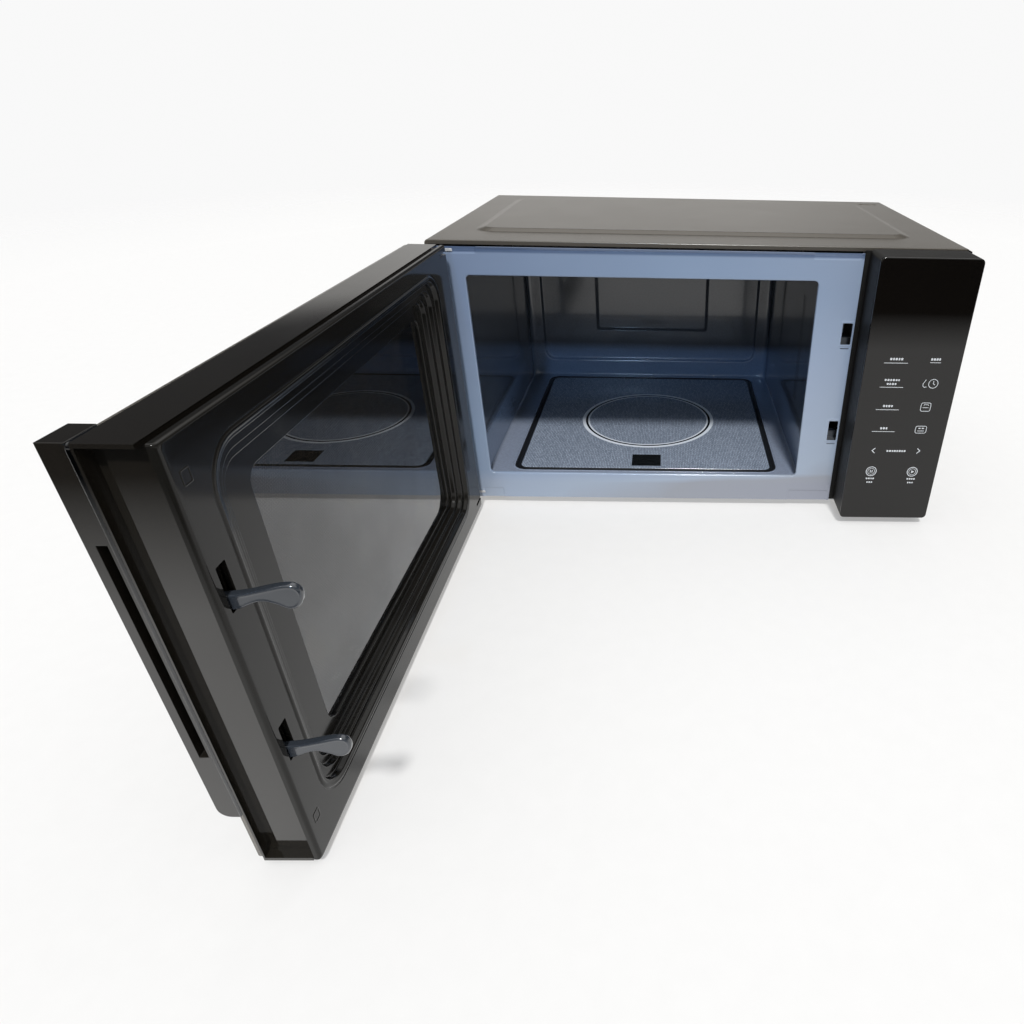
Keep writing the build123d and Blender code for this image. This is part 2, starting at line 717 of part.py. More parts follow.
def hinge_plate(z0, z1, leg_z0, leg_z1):
    """Plate that reaches forward through the front plate to the pin."""
    block(HX - 5.0, -237.2, HY, -161.2, z0, z1)
    rod_z(HX, HY, z0, z1, 5.0)
    block(-252.2, -228, Y_FACE + SHEET, Y_FACE + SHEET + 2, leg_z0, leg_z1)
    rod_z(HX, HY, z0 - 1, z1 + 1, PIN_R, mode=Mode.SUBTRACT)


with BuildPart() as upper_hinge_plate:
    hinge_plate(271.0, 273.0, 236, 273.0)
save(upper_hinge_plate.part, "upper_hinge_plate")

with BuildPart() as lower_hinge_plate:
    hinge_plate(14.0, 16.0, 14.0, 52)
save(lower_hinge_plate.part, "lower_hinge_plate")

with BuildPart() as hinge_pins:
    rod_z(HX, HY, 258.0, 275.5, PIN_R)
    rod_z(HX, HY, 9.0, 29.0, PIN_R)
save(hinge_pins.part, "hinge_pins")

# ---------------------------------------------------------------------------
# Feet, screws and cord inlet
# ---------------------------------------------------------------------------

FOOT_X, FOOT_Y = 222.0, 132.0
with BuildPart() as feet:
    for x in (-FOOT_X, FOOT_X):
        for y in (-FOOT_Y, FOOT_Y):
            with Locations((x, y, Z_BASE / 2)):
                Cone(12, 14, Z_BASE)
save(feet.part, "feet")

with BuildPart() as screws:
    # rear screws of the wrap
    for x in (-235, -80, 80, 235):
        rod_y(x, 162.2, 164.4, 268, 3.8)
    for x in (-245, 245):
        rod_y(x, 162.2, 164.4, 60, 3.8)
    # screws of the base
    for x in (-150, 0, 110):
        rod_z(x, 150, 6.8, 9.0, 3.8)
        rod_z(x, -150, 6.8, 9.0, 3.8)
save(screws.part, "screws")

with BuildPart() as cord_inlet:
    rod_y(226, 162.2, 165.4, 40, 12)
    rod_y(226, 152, 162.2, 40, 8.9)
    rod_y(226, 150, 167, 40, 4.2, mode=Mode.SUBTRACT)
save(cord_inlet.part, "cord_inlet")

# ---------------------------------------------------------------------------
# Door, open at 90 degrees: the inner cover faces +X
# ---------------------------------------------------------------------------

WIN_Y0, WIN_Y1 = -559.5, -217.0  # outline of the recess in the inner cover
WIN_Z0, WIN_Z1 = 30.0, 259.0
APT_Y0, APT_Y1 = -520.0, -243.0  # clear window
APT_Z0, APT_Z1 = 47.0, 231.0


def hinge_notch(mode=Mode.SUBTRACT):
    """Room for the hinge plates at the hinge end, over the whole swing."""
    block(-259.0, -225, -194.5, -170, 270.4, 273.6, mode=mode)
    block(-259.0, -225, -194.5, -170, 13.4, 16.6, mode=mode)


HS_Y = -576.0
HS_Z = (60.0, 236.0)
with BuildPart() as door_front_glass:
    slab_x(
        DY_FREE, DY_HINGE - 0.4, GLASS_Z0, GLASS_Z1, DX_OUT, DX_OUT + GLASS_T, 3.0
    )
    for z in HS_Z:
        rod_x(-280, -250, HS_Y, z, 1.8, mode=Mode.SUBTRACT)
save(door_front_glass.part, "door_front_glass")

FR_X0 = DX_OUT + GLASS_T  # -264.9
FR_X1 = -236.0
with BuildPart() as door_frame:
    block(FR_X0, FR_X1, DY_FREE + CHANNEL, DY_HINGE, D_Z0 + 2, D_Z1)
    # lip, top skin and bottom shelf of the free-end channel
    block(FR_X0, FR_X0 + 1.1, DY_FREE, DY_HINGE, D_Z0 + 2, D_Z1)
    block(FR_X0, FR_X1, DY_FREE, DY_FREE + CHANNEL, 276.2, D_Z1)
    block(FR_X0, FR_X1, DY_FREE, DY_HINGE - 4, D_Z0, D_Z0 + 2.4)
    # hollow for the choke frame, open towards the cavity
    block(-262.5, -230, -567.0, -200.0, 22.0, 262.0, mode=Mode.SUBTRACT)
    # window in the outer web
    block(-266, -230, -530, -235, 40, 240, mode=Mode.SUBTRACT)
    # shaft of the latch lever in the free-end stile
    block(
        -256.0,
        -230,
        DY_FREE + CHANNEL + 0.6,
        -572.0,
        48.0,
        240.0,
        mode=Mode.SUBTRACT,
    )
    hinge_notch()
    rod_z(HX, HY, 273.6, 276.2, PIN_R + RUN, mode=Mode.SUBTRACT)
    rod_z(HX, HY, 257.2, 270.4, PIN_R + RUN, mode=Mode.SUBTRACT)
    rod_z(HX, HY, 16.6, 29.8, PIN_R + RUN, mode=Mode.SUBTRACT)
    rod_z(HX, HY, 8.2, 13.4, PIN_R + RUN, mode=Mode.SUBTRACT)
    for z in HS_Z:
        rod_x(-280, -250, HS_Y, z, 1.8, mode=Mode.SUBTRACT)
    # post that holds the fixed end of the latch spring
    block(-250, -240, -580.2, -574.0, 48.0, 52.0)
save(door_frame.part, "door_frame")

# stamped frame that chokes the microwaves, behind the inner cover
with BuildPart() as door_choke:
    block(-262.3, -248.2, -566.6, -200.4, 22.4, 261.6)
    block(-261.3, -247, -565.6, -201.4, 23.4, 260.6, mode=Mode.SUBTRACT)
    block(-264, -240, APT_Y0 - 4, APT_Y1 + 4, APT_Z0 - 4, APT_Z1 + 4, mode=Mode.SUBTRACT)
    # inner wall around the window
    block(-262.3, -248.2, APT_Y0 - 5, APT_Y1 + 5, APT_Z0 - 5, APT_Z1 + 5)
    block(-264, -247, APT_Y0 - 4, APT_Y1 + 4, APT_Z0 - 4, APT_Z1 + 4, mode=Mode.SUBTRACT)
save(door_choke.part, "door_choke")

# screen sheet: its perforation is too fine to cut here
with BuildPart() as door_screen:
    slab_x(APT_Y0 - 10, APT_Y1 + 10, APT_Z0 - 10, APT_Z1 + 10, -248.0, -247.4, 6)
save(door_screen.part, "door_screen")

with BuildPart() as door_inner_glass:
    slab_x(APT_Y0 - 12, APT_Y1 + 12, APT_Z0 - 12, APT_Z1 + 12, -247.2, -245.2, 8)
save(door_inner_glass.part, "door_inner_glass")

with BuildPart() as door_inner_cover:
    # face plate
    block(-233.8, DX_IN, DY_FREE, DY_HINGE - 1.8, D_Z0, D_Z1)
    # chamfer of the bottom edge and rounding at the hinge
    chamfer(edges().filter_by(Axis.Y).sort_by(Axis.Z)[0:2].sort_by(Axis.X)[-1], 2.4)
    fillet(edges().filter_by(Axis.Z).group_by(Axis.Y)[-1].sort_by(Axis.X)[-1], 2.7)
    # edge flange that closes the rear of the frame at top and bottom
    block(-236.0, -233.8, -566.0, -176.0, 263.0, 276.0)
    block(-236.0, -233.8, -566.0, -176.0, 8.0, 21.0)
    # funnel that steps down to the window
    slab_x(WIN_Y0 - 2, WIN_Y1 + 2, WIN_Z0 - 2, WIN_Z1 + 2, -245.2, -232, 22)
    slab_x(WIN_Y0, WIN_Y1, WIN_Z0, WIN_Z1, -235.0, -220, 20, mode=Mode.SUBTRACT)
    slab_x(
        WIN_Y0 + 7, WIN_Y1 - 7, WIN_Z0 + 5, WIN_Z1 - 7, -239.0, -220, 17, mode=Mode.SUBTRACT
    )
    slab_x(
        WIN_Y0 + 14, WIN_Y1 - 14, WIN_Z0 + 9, WIN_Z1 - 14, -243.2, -220, 14, mode=Mode.SUBTRACT
    )
    slab_x(APT_Y0, APT_Y1, APT_Z0, APT_Z1, -250, -220, 10, mode=Mode.SUBTRACT)
    # slots for the hooks
    block(-234.5, -229, HOOK_Y - 3.8, HOOK_Y + 3.8, 188.0, 214.0, mode=Mode.SUBTRACT)
    block(-234.5, -229, HOOK_Y - 3.8, HOOK_Y + 3.8, 85.5, 111.0, mode=Mode.SUBTRACT)
    hinge_notch()
save(door_inner_cover.part, "door_inner_cover")

# slab handle with a finger slot behind its bar
with BuildPart() as door_handle:
    block(-279.2, DX_OUT, -585.4, -566.8, 44.0, 278.0)
    fillet(
        edges()
        .filter_by(Axis.Y)
        .group_by(Axis.Z)[0]
        .sort_by(Axis.X)[0],
        7.0,
    )
    block(-274.5, -269.5, -590, -560, 94.0, 229.0, mode=Mode.SUBTRACT)
    for z in HS_Z:
        rod_x(-273, -260, HS_Y, z, 1.8, mode=Mode.SUBTRACT)
save(door_handle.part, "door_handle")

with BuildPart() as handle_screws:
    for z in HS_Z:
        rod_x(-273, -256, HS_Y, z, 1.8)
        rod_x(-256, -254.2, HS_Y, z, 3.2)
save(handle_screws.part, "handle_screws")


def hook_outline(dz):
    """Side view of a hook: root at the lever, notch below, barb at the tip."""
    return [
        (-241.0, 188.6 + dz),
        (-233.0, 188.8 + dz),
        (-227.7, 189.4 + dz),
        (-222.0, 192.6 + dz),
        (-216.3, 194.4 + dz),
        (-210.5, 192.4 + dz),
        (-205.7, 188.6 + dz),
        (-200.2, 190.4 + dz),
        (-197.6, 196.6 + dz),
        (-198.8, 201.4 + dz),
        (-202.4, 203.4 + dz),
        (-209.0, 202.6 + dz),
        (-216.0, 200.8 + dz),
        (-224.0, 198.6 + dz),
        (-233.0, 197.4 + dz),
        (-241.0, 197.2 + dz),
    ]


# latch lever: one bar with an upper and a lower hook
with BuildPart() as latch_lever:
    block(-250.0, -240.0, HOOK_Y - 2.6, HOOK_Y + 2.6, 80.0, 214.0)
    for dz in (0.0, -HOOK_PITCH):
        with BuildSketch(Plane.XZ.offset(-(HOOK_Y + HOOK_T / 2))):
            with BuildLine():
                Polyline(*hook_outline(dz), close=True)
            make_face()
        extrude(amount=HOOK_T)
        # taper of the barb on the free-end side, so that it swings through its slot
        with BuildSketch(Plane.XY.offset(180 + dz)):
            with BuildLine():
                Polyline(
                    (-212.0, HOOK_Y - 2.6),
                    (-190.0, HOOK_Y - 0.2),
                    (-190.0, HOOK_Y - 6),
                    (-212.0, HOOK_Y - 6),
                    close=True,
                )
            make_face()
        extrude(amount=30, mode=Mode.SUBTRACT)
save(latch_lever.part, "latch_lever")

# spring that pulls the lever down
with BuildPart() as latch_spring:
    with BuildLine():
        Helix(3.4, 27.2, 2.2, center=(-245.0, HOOK_Y, 52.4))
    with BuildSketch(Plane(origin=(-242.8, HOOK_Y, 52.4), z_dir=(0, 0.971, 0.239))):
        Circle(0.35)
    sweep(is_frenet=True)
save(latch_spring.part, "latch_spring")
print("parts written")
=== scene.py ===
import json
import math

import bmesh
import bpy
from mathutils import Matrix, Vector


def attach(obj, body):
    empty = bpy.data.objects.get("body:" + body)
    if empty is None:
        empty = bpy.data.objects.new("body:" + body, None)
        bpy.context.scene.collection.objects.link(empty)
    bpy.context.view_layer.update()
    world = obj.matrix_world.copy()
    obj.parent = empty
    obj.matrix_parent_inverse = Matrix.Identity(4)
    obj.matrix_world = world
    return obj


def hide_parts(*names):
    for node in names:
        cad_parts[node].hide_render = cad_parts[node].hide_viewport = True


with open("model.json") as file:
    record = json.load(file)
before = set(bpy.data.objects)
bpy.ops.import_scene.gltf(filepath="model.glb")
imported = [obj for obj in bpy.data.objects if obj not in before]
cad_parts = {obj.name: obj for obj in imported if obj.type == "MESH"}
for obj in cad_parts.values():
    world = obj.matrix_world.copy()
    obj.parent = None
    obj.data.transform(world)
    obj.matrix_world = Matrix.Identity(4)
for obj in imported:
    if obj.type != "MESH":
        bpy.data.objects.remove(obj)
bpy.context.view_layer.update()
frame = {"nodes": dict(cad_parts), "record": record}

MM = 0.001
nodes = frame["nodes"]
scene = bpy.context.scene

# ---------------------------------------------------------------------------
# Camera
# ---------------------------------------------------------------------------

cam_data = bpy.data.cameras.new("camera")
cam = bpy.data.objects.new("camera", cam_data)
scene.collection.objects.link(cam)
right = Vector((0.99976631, -0.01026594, 0.01902450)).normalized()
up = Vector((-0.01117397, 0.50795565, 0.86131074))
up = (up - right * up.dot(right)).normalized()
back = right.cross(up)
turn = Matrix((right, up, back)).transposed().to_4x4()
cam.matrix_world = Matrix.Translation((-0.03123889, -0.83354594, 0.40155439)) @ turn
cam_data.lens = 24.327923
cam_data.sensor_fit = "HORIZONTAL"
cam_data.sensor_width = 36.0
cam_data.shift_x = -0.16
cam_data.shift_y = -0.011979
cam_data.clip_start = 0.02
cam_data.clip_end = 60.0
scene.camera = cam

# ---------------------------------------------------------------------------
# Small node helpers
# ---------------------------------------------------------------------------


class Tree:
    """A material's node tree, with short calls for the nodes used here."""

    def __init__(self, name):
        self.mat = bpy.data.materials.new(name)
        self.mat.use_nodes = True
        self.t = self.mat.node_tree
        self.t.nodes.clear()
        self.out = self.t.nodes.new("ShaderNodeOutputMaterial")
        self.coord = self.t.nodes.new("ShaderNodeTexCoord").outputs["Object"]

    def node(self, kind, **inputs):
        n = self.t.nodes.new(kind)
        for key, value in inputs.items():
            if hasattr(n, key) and key not in n.inputs:
                setattr(n, key, value)
                continue
            socket = n.inputs[key]
            if isinstance(value, bpy.types.NodeSocket):
                self.t.links.new(value, socket)
            else:
                socket.default_value = value
        return n

    def link(self, a, b):
        self.t.links.new(a, b)

    def scaled(self, sx, sy=None, sz=None, turn=(0, 0, 0)):
        m = self.t.nodes.new("ShaderNodeMapping")
        m.inputs["Scale"].default_value = (sx, sy or sx, sz or sx)
        m.inputs["Rotation"].default_value = turn
        self.link(self.coord, m.inputs["Vector"])
        return m.outputs["Vector"]

    def noise(self, scale, detail=3.0, rough=0.55, vector=None, distortion=0.0):
        n = self.node("ShaderNodeTexNoise")
        n.inputs["Scale"].default_value = scale
        n.inputs["Detail"].default_value = detail
        n.inputs["Roughness"].default_value = rough
        n.inputs["Distortion"].default_value = distortion
        self.link(vector or self.coord, n.inputs["Vector"])
        return n.outputs["Fac"]

    def ramp(self, fac, stops, mode="LINEAR"):
        n = self.node("ShaderNodeValToRGB")
        r = n.color_ramp
        r.interpolation = mode
        while len(r.elements) > 1:
            r.elements.remove(r.elements[-1])
        r.elements[0].position = stops[0][0]
        r.elements[0].color = (*stops[0][1], 1.0)
        for pos, col in stops[1:]:
            e = r.elements.new(pos)
            e.color = (*col, 1.0)
        self.link(fac, n.inputs["Fac"])
        return n.outputs["Color"]

    def spread(self, fac, lo, hi, a=0.3, b=0.7):
        """fac, mostly between a and b, mapped to lo..hi."""
        n = self.node("ShaderNodeMapRange")
        n.inputs["From Min"].default_value = a
        n.inputs["From Max"].default_value = b
        n.inputs["To Min"].default_value = lo
        n.inputs["To Max"].default_value = hi
        self.link(fac, n.inputs["Value"])
        return n.outputs["Result"]

    def math(self, op, a, b=None, c=None):
        n = self.node("ShaderNodeMath")
        n.operation = op
        for i, v in enumerate((a, b, c)):
            if v is None:
                continue
            if isinstance(v, bpy.types.NodeSocket):
                self.link(v, n.inputs[i])
            else:
                n.inputs[i].default_value = v
        return n.outputs[0]

    def mix(self, fac, a, b):
        n = self.node("ShaderNodeMix")
        n.data_type = "RGBA"
        for key, v in (("Factor", fac), ("A", a), ("B", b)):
            socket = [
                s
                for s in n.inputs
                if s.name == key and s.enabled
            ][0]
            if isinstance(v, bpy.types.NodeSocket):
                self.link(v, socket)
            else:
                socket.default_value = v if key == "Factor" else (*v, 1.0)
        return [s for s in n.outputs if s.enabled][0]

    def bump(self, height, distance, strength=1.0):
        n = self.node("ShaderNodeBump")
        n.inputs["Distance"].default_value = distance
        n.inputs["Strength"].default_value = strength
        self.link(height, n.inputs["Height"])
        return n.outputs["Normal"]

    def shade(self, color, rough, normal=None, **plain):
        p = self.node("ShaderNodeBsdfPrincipled")
        for key, v in (("Base Color", color), ("Roughness", rough), ("Normal", normal)):
            if v is None:
                continue
            if isinstance(v, bpy.types.NodeSocket):
                self.link(v, p.inputs[key])
            else:
                p.inputs[key].default_value = (*v, 1.0) if key == "Base Color" else v
        for key, v in plain.items():
            p.inputs[key.replace("_", " ")].default_value = v
        return p.outputs["BSDF"]

    def done(self, shader):
        self.link(shader, self.out.inputs["Surface"])
        return self.mat


def tint(c, k):
    return tuple(max(0.0, x * k) for x in c)


def coated(name, color, rough, peel=0.00004, peel_scale=260.0, vary=0.10, rough_vary=0.04, fleck=0.0, **plain):
    """Paint, enamel or moulded plastic: slow colour drift, fine texture and uneven gloss."""
    t = Tree(name)
    slow = t.noise(9.0, 3.0, 0.5)
    fine = t.noise(420.0, 2.0, 0.6)
    drift = t.ramp(slow, [(0.3, tint(color, 1.0 - vary)), (0.7, tint(color, 1.0 + vary))])
    speck = t.ramp(fine, [(0.35, tint(color, 1.0 - vary * 0.8)), (0.65, tint(color, 1.0 + vary * 0.8 + fleck))])
    col = t.mix(0.4, drift, speck)
    smear = t.noise(23.0, 4.0, 0.65)
    ro = t.spread(smear, max(0.01, rough - rough_vary), rough + rough_vary)
    texture = t.noise(peel_scale, 2.0, 0.5)
    nrm = t.bump(texture, peel)
    return t.done(t.shade(col, ro, nrm, **plain))


def brushed(name, color, rough, grain=(1.0, 1.0, 60.0), vary=0.10, **plain):
    """Bare metal with a drawn grain."""
    t = Tree(name)
    lines = t.noise(60.0, 3.0, 0.6, t.scaled(*grain))
    slow = t.noise(30.0, 3.0, 0.5)
    col = t.mix(0.5, t.ramp(lines, [(0.3, tint(color, 1 - vary)), (0.7, tint(color, 1 + vary))]),
                t.ramp(slow, [(0.3, tint(color, 1 - vary)), (0.7, tint(color, 1 + vary))]))
    ro = t.spread(lines, rough * 0.75, rough * 1.3)
    nrm = t.bump(lines, 0.00003)
    return t.done(t.shade(col, ro, nrm, Metallic=1.0, **plain))


def spangled(name, color, rough):
    """Hot-dip zinc: crystal patches of slightly different tone and gloss."""
    t = Tree(name)
    v = t.node("ShaderNodeTexVoronoi")
    v.inputs["Scale"].default_value = 190.0
    t.link(t.coord, v.inputs["Vector"])
    patch = t.node("ShaderNodeSeparateColor")
    t.link(v.outputs["Color"], patch.inputs[0])
    tone = patch.outputs[0]
    col = t.ramp(tone, [(0.0, tint(color, 0.94)), (1.0, tint(color, 1.05))])
    ro = t.spread(tone, rough * 0.92, rough * 1.10, 0.0, 1.0)
    nrm = t.bump(t.noise(600.0, 2.0), 0.00002)
    return t.done(t.shade(col, ro, nrm, Metallic=1.0))


# ---------------------------------------------------------------------------
# Materials
# ---------------------------------------------------------------------------

M = {}
M["cabinet_coat"] = coated("satin_cabinet_coat", (0.072, 0.063, 0.051), 0.24, peel=0.0000008, peel_scale=1200.0, vary=0.04, rough_vary=0.008, fleck=0.06, Specular_IOR_Level=0.7)
def front_enamel_with_painted_light(name, rough, peel):
    """Glossy enamel of the front plate with a slow drift of tone, and painted light: darker and bluer at the upper
    left, lighter to the right, greyer towards the bottom, with a painted shaded strip along the top edge.
    """
    t = Tree(name)
    sep = t.node("ShaderNodeSeparateXYZ")
    t.link(t.coord, sep.inputs[0])
    slow = t.noise(9.0, 3.0, 0.5)
    # painted light: the tone runs lighter to the right and greyer towards the bottom; only the slow noise is a random
    # drift
    light_and_drift = t.math("ADD", t.spread(sep.outputs["X"], 0.0, 0.55, -0.24, 0.16), t.spread(sep.outputs["Z"], 0.50, 0.0, 0.0, 0.20))
    light_and_drift = t.math("ADD", light_and_drift, t.spread(sep.outputs["Z"], 0.30, 0.0, 0.028, 0.042))
    light_and_drift = t.math("ADD", light_and_drift, t.math("MULTIPLY", t.math("SUBTRACT", slow, 0.5), 0.20))
    light_and_drift = t.math("DIVIDE", light_and_drift, 1.35)
    fine = t.noise(420.0, 2.0, 0.6)
    body = t.ramp(light_and_drift, [(0.0, (0.184, 0.240, 0.352)), (0.22, (0.216, 0.288, 0.410)), (0.46, (0.262, 0.322, 0.430)), (0.667, (0.296, 0.350, 0.434)), (0.77, (0.262, 0.278, 0.314)), (1.0, (0.252, 0.264, 0.314))])
    # painted shade: above z 0.2712 the speck ramp drops to its dark blue end, a dark strip along the top edge
    fine = t.math("ADD", t.math("MULTIPLY", fine, 0.06), t.math("MULTIPLY", t.spread(sep.outputs["Z"], 1.0, 0.0, 0.2694, 0.2712), 0.93))
    speck = t.ramp(fine, [(0.0, (0.42, 0.47, 0.56)), (0.85, (0.97, 0.97, 0.975)), (1.0, (1.01, 1.01, 1.01))])
    tone = t.node("ShaderNodeMix")
    tone.data_type = "RGBA"
    tone.blend_type = "MULTIPLY"
    tone.inputs[0].default_value = 1.0
    t.link(body, tone.inputs[6])
    t.link(speck, tone.inputs[7])
    ro = t.spread(t.noise(23.0, 4.0, 0.65), rough - 0.03, rough + 0.03)
    nrm = t.bump(t.noise(180.0, 2.0, 0.5), peel)
    return t.done(t.shade(tone.outputs[2], ro, nrm, Coat_Weight=0.35, Coat_Roughness=0.08))


M["front_coat"] = front_enamel_with_painted_light("gloss_front_enamel", 0.20, 0.000004)
# Darker copy of the front enamel: painted shade for the strip along the top of the front plate.
M["front_rim_painted_shade"] = coated("gloss_front_rim", (0.105, 0.150, 0.245), 0.24, peel=0.000003, peel_scale=180.0, vary=0.05, Coat_Weight=0.3, Coat_Roughness=0.08)
M["bright_zinc"] = coated("plated_hinge_steel", (0.66, 0.67, 0.69), 0.30, peel=0.000004, peel_scale=500.0, vary=0.06, Metallic=0.35)
M["plastic_grey"] = coated("moulded_grey_plastic", (0.060, 0.064, 0.070), 0.34, peel=0.00003, vary=0.10)
def cavity_enamel_with_painted_light(name, rough, peel):
    """Glossy enamel with painted light: paler on the floor at the mouth, a painted pool of light that fades towards the
    rear; pale blue low on the walls and deeper and greyer up the walls, painted shade.
    """
    t = Tree(name)
    sep = t.node("ShaderNodeSeparateXYZ")
    t.link(t.coord, sep.inputs[0])
    slow = t.noise(9.0, 3.0, 0.5)
    # painted light: the walls are pale blue up to about 86 mm and darker and greyer above, painted shade
    high = t.math("ADD", t.math("MULTIPLY", sep.outputs["Z"], 3.6), t.math("MULTIPLY", t.math("SUBTRACT", slow, 0.5), 0.02))
    wall = t.ramp(high, [(0.15, (0.170, 0.245, 0.380)), (0.27, (0.150, 0.215, 0.340)), (0.31, (0.060, 0.076, 0.105)), (0.50, (0.044, 0.050, 0.060)), (0.90, (0.036, 0.040, 0.047))])
    # painted pool of light on the floor: paler near the mouth, fading towards the rear
    pale = t.math("MULTIPLY", t.spread(sep.outputs["Z"], 1.0, 0.0, 0.0378, 0.0405), t.spread(sep.outputs["Y"], 1.0, 0.35, -0.03, 0.03))
    fine = t.noise(420.0, 2.0, 0.6)
    speck = t.ramp(fine, [(0.35, (0.94, 0.94, 0.94)), (0.65, (1.06, 1.06, 1.06))])
    col = t.mix(pale, wall, (0.205, 0.240, 0.315))
    tone = t.node("ShaderNodeMix")
    tone.data_type = "RGBA"
    tone.blend_type = "MULTIPLY"
    tone.inputs[0].default_value = 1.0
    t.link(col, tone.inputs[6])
    t.link(speck, tone.inputs[7])
    smear = t.noise(23.0, 4.0, 0.65)
    ro = t.spread(smear, rough - 0.03, rough + 0.03)
    nrm = t.bump(t.noise(150.0, 2.0, 0.5), peel)
    return t.done(t.shade(tone.outputs[2], ro, nrm, Coat_Weight=0.55, Coat_Roughness=0.045))


M["cavity_coat"] = cavity_enamel_with_painted_light("gloss_cavity_enamel_painted_light", 0.14, 0.000004)
M["black_gloss"] = coated("moulded_black_gloss", (0.0125, 0.0108, 0.0085), 0.07, peel=0.0000015, peel_scale=120.0, vary=0.12, rough_vary=0.015, Specular_IOR_Level=0.75, Coat_Weight=0.2, Coat_Roughness=0.03)
M["black_glass"] = coated("printed_black_glass", (0.0035, 0.0028, 0.0022), 0.03, peel=0.0000008, peel_scale=60.0, vary=0.15, rough_vary=0.01)
M["black_satin"] = coated("moulded_black_satin", (0.0100, 0.0093, 0.0080), 0.105, peel=0.0000012, peel_scale=300.0, vary=0.12, rough_vary=0.015, Specular_IOR_Level=0.27)
# Matt black plastic; also laid as painted shade on the front face of the cabinet's hem and on the front plate's top
# return and top edge.
M["black_matt"] = coated("moulded_black_matt", (0.0085, 0.0080, 0.0072), 0.48, peel=0.000004, peel_scale=800.0, vary=0.12, rough_vary=0.03, Specular_IOR_Level=0.22)
# Lighter grey for the fascia's left front edge: a painted highlight.
M["edge_painted_highlight"] = coated("glass_edge_painted_highlight", (0.110, 0.108, 0.104), 0.34, peel=0.000002, peel_scale=1500.0, vary=0.10, rough_vary=0.03)
M["seal_black"] = coated("silicone_seal", (0.006, 0.007, 0.009), 0.42, peel=0.00006, peel_scale=500.0, vary=0.15)
M["plastic_white"] = coated("moulded_white_plastic", (0.50, 0.52, 0.55), 0.38, peel=0.00004, vary=0.04)
M["plastic_black"] = coated("moulded_black_plastic", (0.016, 0.016, 0.017), 0.36, peel=0.00005, vary=0.15)
M["duct_plastic"] = coated("moulded_duct_plastic", (0.33, 0.33, 0.31), 0.45, peel=0.00005, vary=0.06)
M["hook_grey"] = coated("gloss_hook_plastic", (0.026, 0.031, 0.039), 0.13, peel=0.000004, peel_scale=140.0, vary=0.08, Specular_IOR_Level=0.7, Coat_Weight=0.6, Coat_Roughness=0.04)
M["rubber_black"] = coated("foot_rubber", (0.020, 0.020, 0.021), 0.70, peel=0.00010, peel_scale=420.0, vary=0.15)
M["ceramic"] = coated("glazed_ceramic", (0.66, 0.62, 0.54), 0.30, vary=0.06)
M["board_green"] = coated("solder_mask", (0.030, 0.120, 0.050), 0.30, vary=0.15)
M["zinc"] = spangled("galvanised_sheet", (0.56, 0.57, 0.58), 0.38)
M["steel"] = brushed("bright_steel", (0.58, 0.59, 0.61), 0.24)
M["aluminium"] = brushed("mill_aluminium", (0.72, 0.73, 0.74), 0.30)
M["copper"] = brushed("enamelled_copper", (0.62, 0.26, 0.12), 0.28, grain=(1.0, 60.0, 1.0))
M["core_steel"] = brushed("lamination_steel", (0.26, 0.25, 0.25), 0.45, grain=(1.0, 1.0, 40.0))


